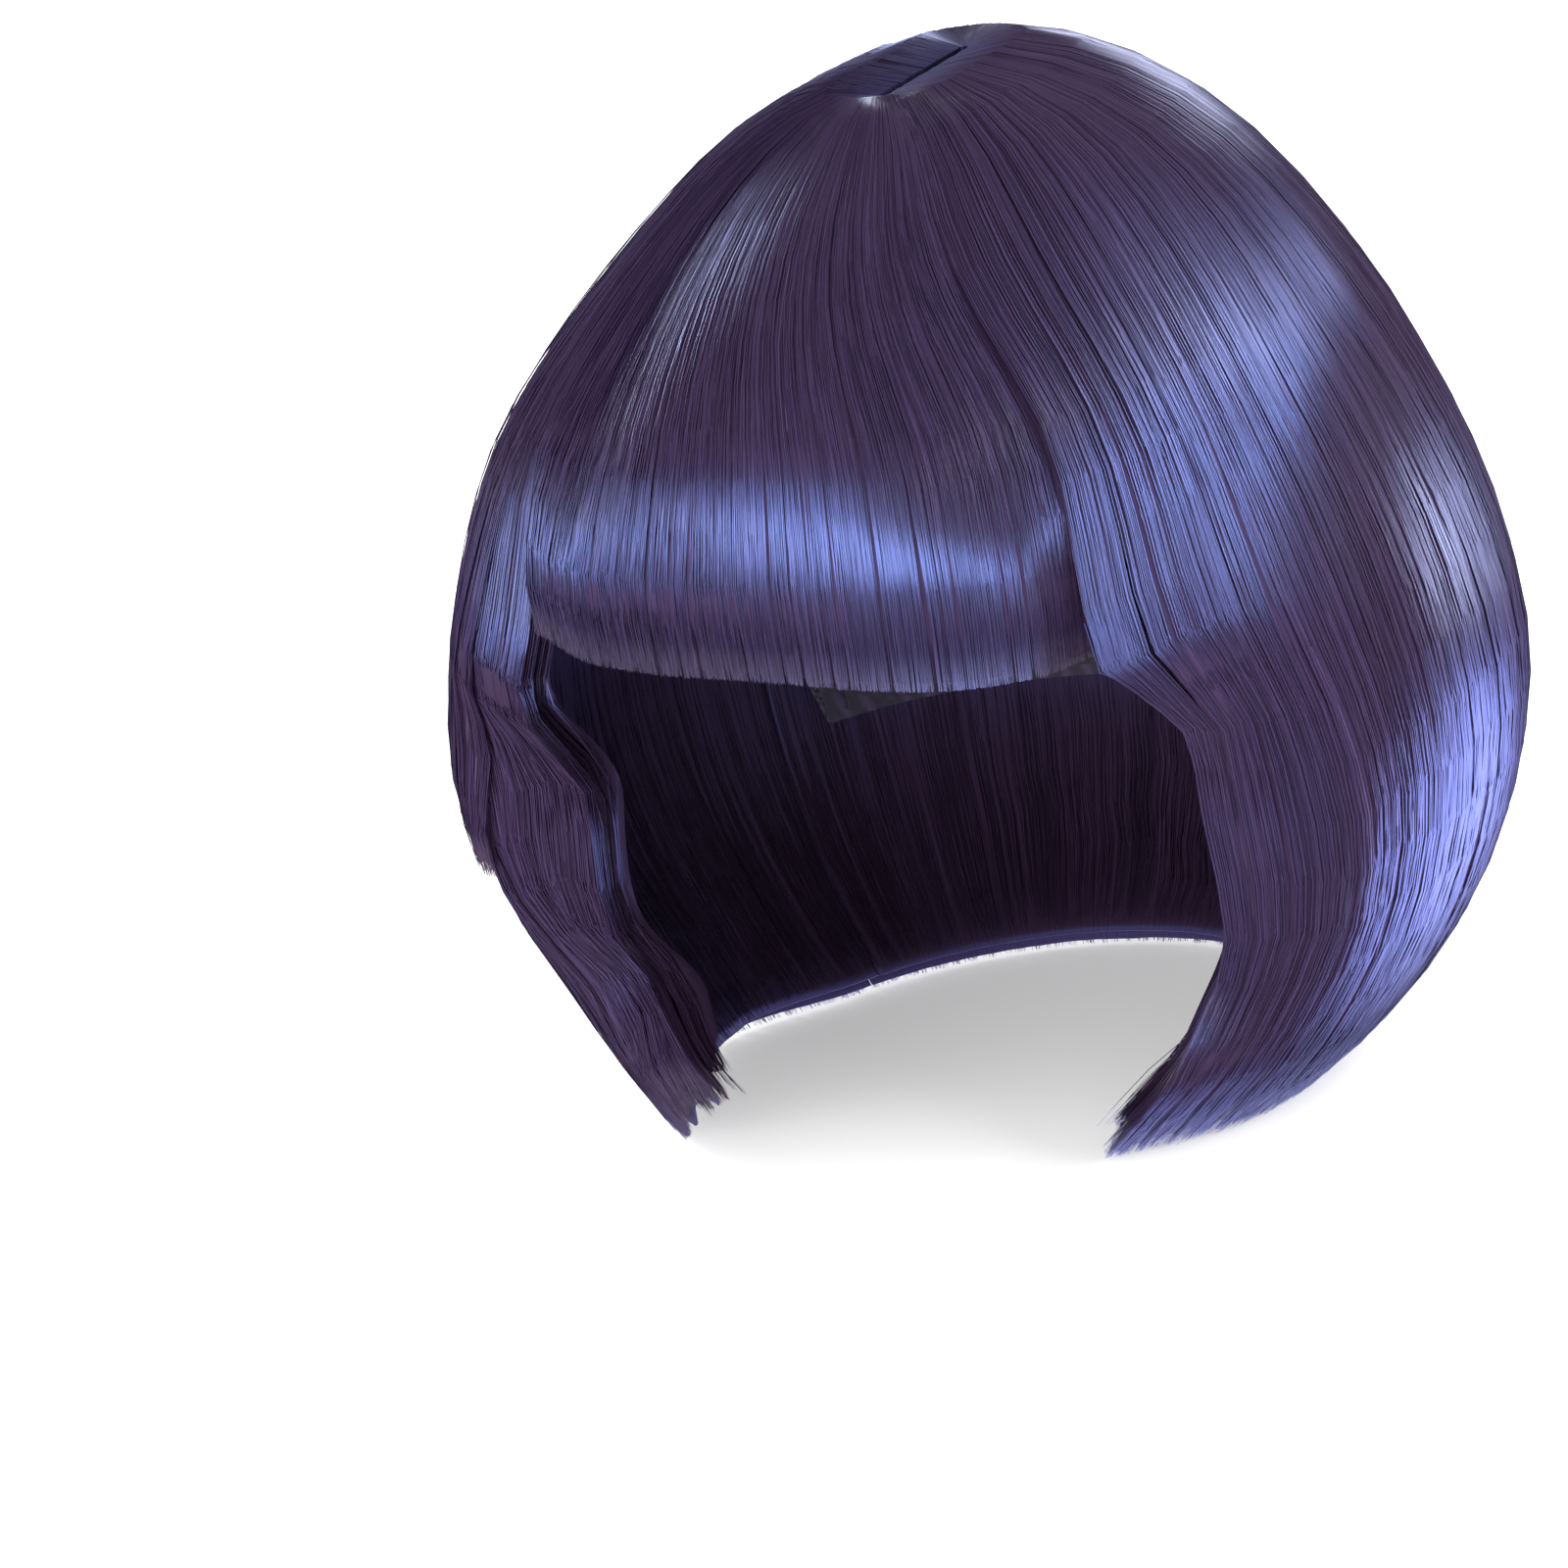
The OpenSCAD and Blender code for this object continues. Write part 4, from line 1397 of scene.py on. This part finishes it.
@dataclass
class Hair:
    """All the hair: closed masses that fibre fills, with loose strands over and in them.

    Heights and lengths are in millimetres and angles in degrees, and v is the place across a
    layer, from 0 to 1. A pair such as curl_z or tuck_v holds the heights or places between which
    the thing that it is named after grows from nothing to all of it.

    Attributes:
        form: the outer form of the hair.
        left_seam: angle of the plane between the fringe and the left side.
        right_seam: the same on the right.
        back_seam: angle of the planes between the sides and the back.
        left_cut: front edge of the left side below the fringe, as shares and angles.
        right_cut: the same on the right.
        under_rise: how much shorter the under layers are.
        under_back: how far behind the sides' front edges theirs are.
        under_top: height of the side under layers' roots.
        under_out: how far the under layers come out beside their front edges.
        nape_top: height of the nape's roots.
        swept: how far the fringe's left seam is swept to the right at the crown.
        short: how much shorter the fringe is at its right end.
        sag_at: place where the fringe is longest, and the width over which that fades.
        slope: how deep the fringe lies on its slope, which grows and fades again.
        curl: how far the fringe's ends curl in.
        tuck: how far its left end lies under the side.
        right_in: how far the right side's edge comes from under the fringe, with two heights.
        lap: how far the left side's strands lie over the fringe.
        step_start: angles of the short layer's front edge, below and above.
        step_stop: angle of its back edge.
        step_out: how far it stands out at its roots, and what its ends keep of the step.
        mass_face: depth of the masses' outer faces under the strands.
        mass_grooves: depth of their grooves.
        mass_share: share of a layer's thickness that its mass has.
        mass_edge_v: place where a mass reaches the layer's full thickness.
        mass_least: thickness of a mass where there is no room for it.
        mass_reach: share of the layer's length that its mass has.
        mass_closing: how fast a mass closes towards its cut end.
        mass_rim: share of the thickness that is left there, on each side.
        mass_grid: rows and columns of a mass.
        groove_rates: grooves across a mass, by rate.
        root_room: distance from the parting over which the masses reach full thickness.
        flow_grid: rows and columns of a flow sheet.
    """

    form: HairForm = HairForm()
    left_seam: float = 39.5
    right_seam: float = 36.0
    back_seam: float = 125.0
    left_cut: Cut = (
        (0.07, 46), (0.24, 50), (0.4, 51.5), (0.63, 53.6), (0.71, 51), (0.84, 44), (1, 37)
    )
    right_cut: Cut = (
        (0.15, 41), (0.27, 45), (0.4, 47), (0.57, 50), (0.65, 49), (0.75, 33), (0.82, 21), (1, 21)
    )
    right_full_v: Pair = (0.0, 0.25)
    under_rise: float = 4.0
    under_back: float = 1.5
    under_top: float = 11.5
    under_back_z: Pair = (-9.0, -17.0)
    under_out: float = 4.5
    under_out_v: Pair = (0.25, 0.0)
    nape_top: float = -0.5
    swept: float = 10.0
    swept_z: Pair = (35.0, 85.0)
    short: float = 3.0
    short_v: Pair = (0.15, 0.0)
    sag_at: Pair = (0.8, 0.4)
    slope: float = 2.6
    slope_v: Pair = (0.0, 0.1)
    slope_z: Pair = (12.0, 36.0)
    slope_end_z: Pair = (88.0, 42.0)
    curl: float = 6.5
    curl_z: Pair = (16.0, -8.0)
    tuck: float = 4.0
    tuck_v: Pair = (0.88, 1.0)
    tuck_z: Pair = (25.0, 15.0)
    right_in: float = 2.4
    right_in_v: Pair = (0.09, 0.0)
    right_in_z: Pair = (46.0, 20.0)
    right_end_z: Pair = (-60.0, 0.0)
    lap: float = 3.6
    lap_z: Pair = (-28.0, -2.0)
    step_start: Pair = (62.0, 48.0)
    step_start_z: Pair = (-64.0, 6.0)
    step_stop: float = 112.0
    step_out: Pair = (0.3, 0.4)
    mass_face: float = 0.9
    mass_grooves: float = 0.3
    mass_share: float = 0.86
    mass_edge_v: float = 0.12
    mass_least: float = 0.8
    mass_reach: float = 0.99
    mass_closing: float = 14.0
    mass_rim: float = 0.02
    mass_grid: tuple[int, int] = (48, 90)
    groove_rates: tuple[float, ...] = (5.0, 9.0, 14.0, 23.0, 31.0)
    root_room: float = 30.0
    flow_grid: tuple[int, int] = (72, 80)

    def __post_init__(self) -> None:
        """Make the finishes and the strand tree."""
        self.strand_finish = {s: f.strand(f"fibre_{s.value}") for s, f in FIBRES.items()}
        self.mass_finish = {s: f.mass(f"fibre_mass_{s.value}") for s, f in FIBRES.items()}
        self.tree = StrandTree()

    def fringe_cut(self, v: Array) -> Array:
        """Height of the fringe's ends, from its right end to its left end."""
        middle, width = self.sag_at
        sag = self.form.fringe_sag * fade(np.abs(v - middle), width, 0.0)
        return self.form.fringe_z - sag + self.short * fade(v, *self.short_v)

    def fringe_tuck(self, z: Array, v: float) -> Array:
        """The fringe slopes a little, curls in at its ends, and ends under the side hair."""
        slope = self.slope * fade(z, *self.slope_z) * fade(z, *self.slope_end_z)
        under = self.tuck * fade(v, *self.tuck_v) * fade(z, *self.tuck_z)
        return under + slope * fade(v, *self.slope_v) + self.curl * fade(z, *self.curl_z)

    def right_tuck(self, z: Array, v: float) -> Array:
        """The right side hair comes out from under the fringe's end."""
        beside = self.right_in * fade(v, *self.right_in_v)
        return beside * fade(z, *self.right_in_z) * fade(z, *self.right_end_z)

    def under_tuck(self, z: Array, v: float) -> Array:
        """Under hair comes out close behind the side hair's front edge."""
        return np.full_like(z, -self.under_out * fade(v, *self.under_out_v))

    def right_end(self, v: Array) -> Array:
        """Height of the right side hair's ends: shorter beside the face."""
        return mix(self.form.right_front_z, self.form.end_z, fade(v, *self.right_full_v))

    def short_tuck(self, z: Array, v: float) -> Array:
        """The short layer stands out more and more, to its step, towards its ends."""
        form = self.form
        down = np.clip((form.swing - z) / (form.swing - form.step_z), 0.0, 1.0)
        return -mix(self.step_out[0], form.step_t - self.step_out[1], down)

    def layers(self) -> list[Layer]:
        """All layers of hair, from the inner ones outwards."""
        form, gap = self.form, 0.5 * self.form.swing_gap
        left = form.edge(self.left_seam, self.left_cut)
        right = form.edge(self.right_seam, self.right_cut)

        def swept(z: Array) -> Array:
            """How far the hair from the crown is swept to the right."""
            return self.swept * fade(z, *self.swept_z)

        def behind(edge: Edge) -> Edge:
            """The front edge of the under layer that belongs to an edge."""
            return lambda z: edge(z) + self.under_back * fade(z, *self.under_back_z)

        def seam(angle: float, beside: float) -> Edge:
            """An upright plane between two layers, which keeps its angle on the cap."""
            return lambda z: form.seam(np.minimum(z, form.swing), angle, beside)

        def level(value: float) -> Edge:
            """A straight cut at one height, or an edge at one angle."""
            return lambda places: np.full_like(places, value, dtype=float)

        side_end, back_start = seam(self.back_seam, -gap), seam(self.back_seam, gap)
        fringe_left, fringe_right = seam(self.left_seam, -gap), seam(self.right_seam, -gap)
        under = {"slot": Slot.INNER, "depth": 9.0, "thickness": 6.0, "steps": 14}
        under_side = {
            **under, "top": self.under_top, "edge": 4.0, "side_hair": True, "bends": (11.0, -12.0),
            "inward": self.under_tuck, "strands": 1150, "inner_share": 0.55, "edge_share": 0.17,
        }
        side = {
            "slot": Slot.HAIR, "edge": 3.0, "side_hair": True, "strands": 1250, "pieces": 2,
            "edge_share": 0.06, "clumps": 80.0,
        }
        return [
            Layer(
                "left_under_hair", "left_side", ("left_under_hair",), start=behind(left),
                stop=side_end, cut=level(form.end_z + self.under_rise), seed=11, **under_side,
            ),
            Layer(
                "right_under_hair", "right_side", ("right_under_hair",), start=behind(right),
                stop=side_end, cut=lambda v: self.right_end(v) + self.under_rise,
                side=Side.RIGHT, seed=12, **under_side,
            ),
            Layer(
                "nape_hair", "back", ("nape_hair",), start=back_start,
                stop=lambda z: 360.0 - back_start(z), cut=level(form.end_z + self.under_rise),
                top=self.nape_top, edge=6.0, bends=(-1.0, -22.0), strands=1350, inner_share=0.6,
                clumps=110.0, inset=0.0, seed=13, **under,
            ),
            Layer(
                "front_hair", "fringe", ("crown_hair_front", "fringe_hair"), Slot.HAIR,
                start=lambda z: -fringe_right(z), stop=lambda z: fringe_left(z) - swept(z),
                cut=self.fringe_cut, thickness=10.0, edge=10.0, inward=self.fringe_tuck,
                strands=2000, pieces=2, inner_share=0.08, clumps=110.0, steps=16, seed=14,
            ),
            Layer(
                "left_hair", "left_side", ("crown_hair_left", "left_side_hair"),
                start=lambda z: left(z) - swept(z), stop=side_end, cut=level(form.end_z),
                lap=lambda z: self.lap * fade(z, *self.lap_z), seed=15, **side,
            ),
            Layer(
                "right_hair", "right_side", ("crown_hair_right", "right_side_hair"), start=right,
                stop=side_end, cut=self.right_end, side=Side.RIGHT, inward=self.right_tuck,
                seed=16, **side,
            ),
            Layer(
                "right_short_hair", "right_side", ("right_short_hair",), Slot.HAIR,
                start=lambda z: mix(*self.step_start, fade(z, *self.step_start_z)),
                stop=level(self.step_stop), cut=level(form.step_z), side=Side.RIGHT,
                thickness=1.0, edge=1.0, side_hair=True, inward=self.short_tuck, strands=1050,
                inner_share=0.0, clumps=50.0, steps=22, seed=18,
            ),
            Layer(
                "back_hair", "back", ("crown_hair_back", "back_hair"), Slot.HAIR,
                start=back_start, stop=lambda z: 360.0 - back_start(z), cut=level(form.end_z),
                inset=0.0, strands=1250, pieces=2, inner_share=0.1, clumps=100.0, steps=22,
                seed=17,
            ),
        ]

    def room(self, z: Array) -> Array:
        """Share of a layer's thickness that there is room for near the parting."""
        return smooth((self.form.level(z)[0] - self.form.part_half) / self.root_room)

    def mass(self, layer: Layer, flow: Flow) -> bpy.types.Object:
        """The closed mass of a layer, grooved along its flow.

        Args:
            layer: the layer.
            flow: how it is laid out.

        Returns:
            The mass.
        """
        rows, columns = self.mass_grid
        random = np.random.default_rng(layer.seed)
        across = np.linspace(0.0, 1.0, columns)
        grooves = sum(
            np.sin(2.0 * math.pi * rate * across + random.uniform(0.0, 6.28))
            / len(self.groove_rates)
            for rate in self.groove_rates
        )

        def full(v: object) -> Array:
            """Thickness of the mass across the layer."""
            inside = fade(v, 0.0, self.mass_edge_v)
            return self.mass_share * mix(layer.edge, layer.thickness, inside)

        def at_thickness(z: Array, v: float) -> Array:
            """Depth of the inner face, which keeps its own place where the outer one moves."""
            return np.maximum(full(v) - layer.inward(z, v), 1.0) * self.room(z)

        sheet = flow.sheet(rows, columns, inset=layer.inset, reach=self.mass_reach)
        deep = flow.sheet(rows, columns, at_thickness, layer.inset, self.mass_reach)
        normal = flow.normals(sheet)
        room = self.room(sheet[..., 2]) if layer.top is None else np.ones((rows, columns))
        face = self.mass_face + self.mass_grooves * grooves[None, :]
        outer = sheet - normal * face[..., None]
        inner = mix(outer - normal * self.mass_least, deep, room[..., None])
        middle = 0.5 * (outer + inner)
        ends = smooth(np.linspace(1.0, 0.0, rows) * self.mass_closing)[:, None, None]
        rim = normal * (self.mass_rim * full(across))[None, :, None] * (1.0 - ends)
        outer, inner = mix(middle, outer, ends) + rim, mix(middle, inner, ends) - rim
        thing = MeshMaker.slab(f"{layer.name}_mass", outer, inner)
        thing.data.materials.append(self.mass_finish[layer.slot])
        return thing

    def strands(self, layer: Layer, flow: Flow, piece: int) -> bpy.types.Object:
        """One piece of the loose strands of a layer.

        Args:
            layer: the layer.
            flow: how it is laid out.
            piece: the piece's number, from 0.

        Returns:
            The strands.
        """
        rows, columns = self.flow_grid
        sheet = flow.sheet(rows, columns)
        faces, uv = MeshMaker.grid_faces(rows, columns), MeshMaker.grid_map(rows, columns)
        thing = MeshMaker.build(f"{layer.name}_flow", sheet, faces, uv)
        outward = thing.data.attributes.new("outward", "FLOAT_VECTOR", "POINT")
        outward.data.foreach_set("vector", flow.normals(sheet).astype(np.float32).ravel())
        recipe = StrandRecipe(
            count=layer.strands, seed=layer.seed * 100 + piece * 31, steps=layer.steps,
            inner_depth=self.mass_share * layer.thickness * MM, inner_share=layer.inner_share,
            edge_share=layer.edge_share, edge_depth=layer.edge * MM, clumps=layer.clumps,
        )
        suffix = "" if layer.pieces == 1 else f"_{piece + 1}"
        name = f"{layer.name}_strands{suffix}"
        return self.tree.grow(name, thing, recipe, self.strand_finish[layer.slot])

    def build(self) -> None:
        """Build every layer."""
        for layer in self.layers():
            mass = self.mass(layer, Flow(self.form, layer))
            over = Flow(self.form, layer, laps=True)
            loose = [self.strands(layer, over, piece) for piece in range(layer.pieces)]
            high, low = layer.bends
            for thing in (mass, *loose):
                high * MM
                low * MM
                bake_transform(thing)
                LOG.info("%s: %d faces", thing.name, len(thing.data.polygons))
            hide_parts(*layer.nodes)


# ---------------------------------------------------------------------------- the studio


def direction(azimuth: float, elevation: float) -> Vector:
    """Unit direction from the wig towards a place round it.

    Args:
        azimuth: degrees from straight ahead of the face, positive to the wearer's left.
        elevation: degrees above the horizon.

    Returns:
        The direction.
    """
    a, e = math.radians(azimuth), math.radians(elevation)
    return Vector((math.sin(a) * math.cos(e), -math.cos(a) * math.cos(e), math.sin(e)))


@dataclass(frozen=True)
class Lamp:
    """One soft light.

    Attributes:
        name: its name.
        azimuth: direction from the wig, in degrees; 0 is straight ahead of the face.
        elevation: height above the horizon, in degrees.
        distance: metres from the wig.
        size: width and height, in metres.
        power: watts.
        turn: how far it is turned about the line to the wig, in degrees.
    """

    name: str
    azimuth: float
    elevation: float
    distance: float
    size: Pair
    power: float
    turn: float = 0.0

    def build(self) -> None:
        """Hang the light."""
        data = bpy.data.lights.new(self.name, "AREA")
        data.shape = "RECTANGLE"
        data.size, data.size_y = self.size
        data.energy = self.power
        thing = bpy.data.objects.new(self.name, data)
        towards = direction(self.azimuth, self.elevation)
        thing.location = towards * self.distance
        thing.rotation_mode = "QUATERNION"
        turned = Quaternion((0.0, 0.0, 1.0), math.radians(self.turn))
        thing.rotation_quaternion = towards.to_track_quat("Z", "Y") @ turned
        bpy.context.scene.collection.objects.link(thing)


@dataclass(frozen=True)
class Studio:
    """Floor, lights and camera. Lengths are in metres and angles in degrees.

    Attributes:
        floor_z: height of the floor.
        lamps: the lights.
        floor_radius: radius of the floor.
        floor_corners: how many corners it has.
        world_seen: the world's strength on matt surfaces, and what is added where it is seen.
        world_gloss: what is added to that in glossy surfaces.
        azimuth: the camera's direction from straight ahead of the face.
        elevation: its height above the horizon.
        roll: how far it is turned about its own line.
        distance: how far it is from the middle of the wig.
        middle: that middle.
        aim: how far left of and below the middle it looks.
        lens: its focal length, in millimetres.
        sensor: its sensor's width, in millimetres.
        clip: the nearest and furthest that it sees.
    """

    floor_z: float
    lamps: Sequence[Lamp]
    floor_radius: float = 9.0
    floor_corners: int = 64
    world_seen: Pair = (0.95, 0.05)
    world_gloss: float = -0.88
    azimuth: float = 25.0
    elevation: float = 15.0
    roll: float = 7.0
    distance: float = 1.6
    middle: tuple[float, float, float] = (0.0, -0.004, 0.0)
    aim: Pair = (0.0373, 0.0548)
    lens: float = 174.6
    sensor: float = 36.0
    clip: Pair = (0.05, 60.0)

    def build(self) -> None:
        """Set up the whole studio."""
        self.make_camera()
        self.make_world()
        for lamp in self.lamps:
            lamp.build()
        self.make_floor()
        LOG.info("studio: %d lamps, floor at %.4f", len(self.lamps), self.floor_z)

    def make_floor(self) -> None:
        """A plain pale floor under everything."""
        angle = np.linspace(0, 2 * math.pi, self.floor_corners, endpoint=False)
        x, y = np.cos(angle) * self.floor_radius, np.sin(angle) * self.floor_radius
        rim = np.stack([x, y, np.full_like(x, self.floor_z)], axis=-1)
        mesh = bpy.data.meshes.new("floor")
        mesh.from_pydata(rim.tolist(), [], [list(range(self.floor_corners))])
        floor = bpy.data.objects.new("floor", mesh)
        floor.data.materials.append(FloorFinish().make())
        bpy.context.scene.collection.objects.link(floor)
        floor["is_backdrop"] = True

    def make_world(self) -> None:
        """The world's soft white light, which is weaker in glossy surfaces."""
        world = bpy.data.worlds.new("soft_white")
        bpy.context.scene.world = world
        world.use_nodes = True
        tree = world.node_tree
        rays = add_node(tree, "ShaderNodeLightPath").outputs
        camera, glossy = Field(tree, rays["Is Camera Ray"]), Field(tree, rays["Is Glossy Ray"])
        matt, seen = self.world_seen
        strength = camera * seen + matt + glossy * self.world_gloss
        wire(tree, tree.nodes["Background"], {0: WHITE, 1: strength})

    def make_camera(self) -> None:
        """The camera: from ahead and to the wearer's left, a little above, and rolled."""
        azimuth, roll = math.radians(self.azimuth), math.radians(self.roll)
        back = direction(self.azimuth, self.elevation)
        right = Vector((math.cos(azimuth), math.sin(azimuth), 0.0))
        up = back.cross(right)
        turned_right = right * math.cos(roll) - up * math.sin(roll)
        turned_up = right * math.sin(roll) + up * math.cos(roll)
        middle = Vector(self.middle)
        place = middle + back * self.distance
        aim = middle - turned_right * self.aim[0] - turned_up * self.aim[1]
        look = (place - aim).normalized()
        side = turned_up.cross(look).normalized()
        top = look.cross(side)
        data = bpy.data.cameras.new("camera")
        data.sensor_width = self.sensor
        data.lens = self.lens
        data.clip_start, data.clip_end = self.clip
        camera = bpy.data.objects.new("camera", data)
        columns = Matrix((side, top, look)).transposed()
        camera.matrix_world = Matrix.Translation(place) @ columns.to_4x4()
        bpy.context.scene.collection.objects.link(camera)
        bpy.context.scene.camera = camera


LAMPS = (
    Lamp("front_strip", -10.0, 4.0, 0.85, (1.6, 0.26), 10.5),
    Lamp("left_rising_strip", 83.0, 28.0, 1.1, (1.15, 0.14), 8.0, turn=33.0),
    Lamp("left_falling_strip", 129.0, 37.0, 1.1, (0.6, 0.16), 2.9, turn=-25.0),
    Lamp("left_rear_strip", 138.0, -1.0, 1.0, (0.14, 0.2), 1.2),
    Lamp("right_tall_strip", -112.0, 22.0, 1.2, (0.3, 0.95), 11.0),
    Lamp("rear_top_box", 180.0, 27.0, 1.2, (0.5, 0.16), 2.0),
)


def main() -> None:
    """Load the frame, dress it and set the studio."""
    logging.basicConfig(level=logging.INFO, format="%(name)s: %(message)s")
    bpy.context.scene.view_settings.view_transform = "Standard"
    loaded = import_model()
    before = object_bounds()
    slots = {part["node"]: part["material_slot"] for part in loaded["record"]["subparts"]}
    Cap(loaded["nodes"], slots).dress()
    Studio(before[0].z, LAMPS).build()
    Hair().build()


if __name__ == "__main__":
    main()
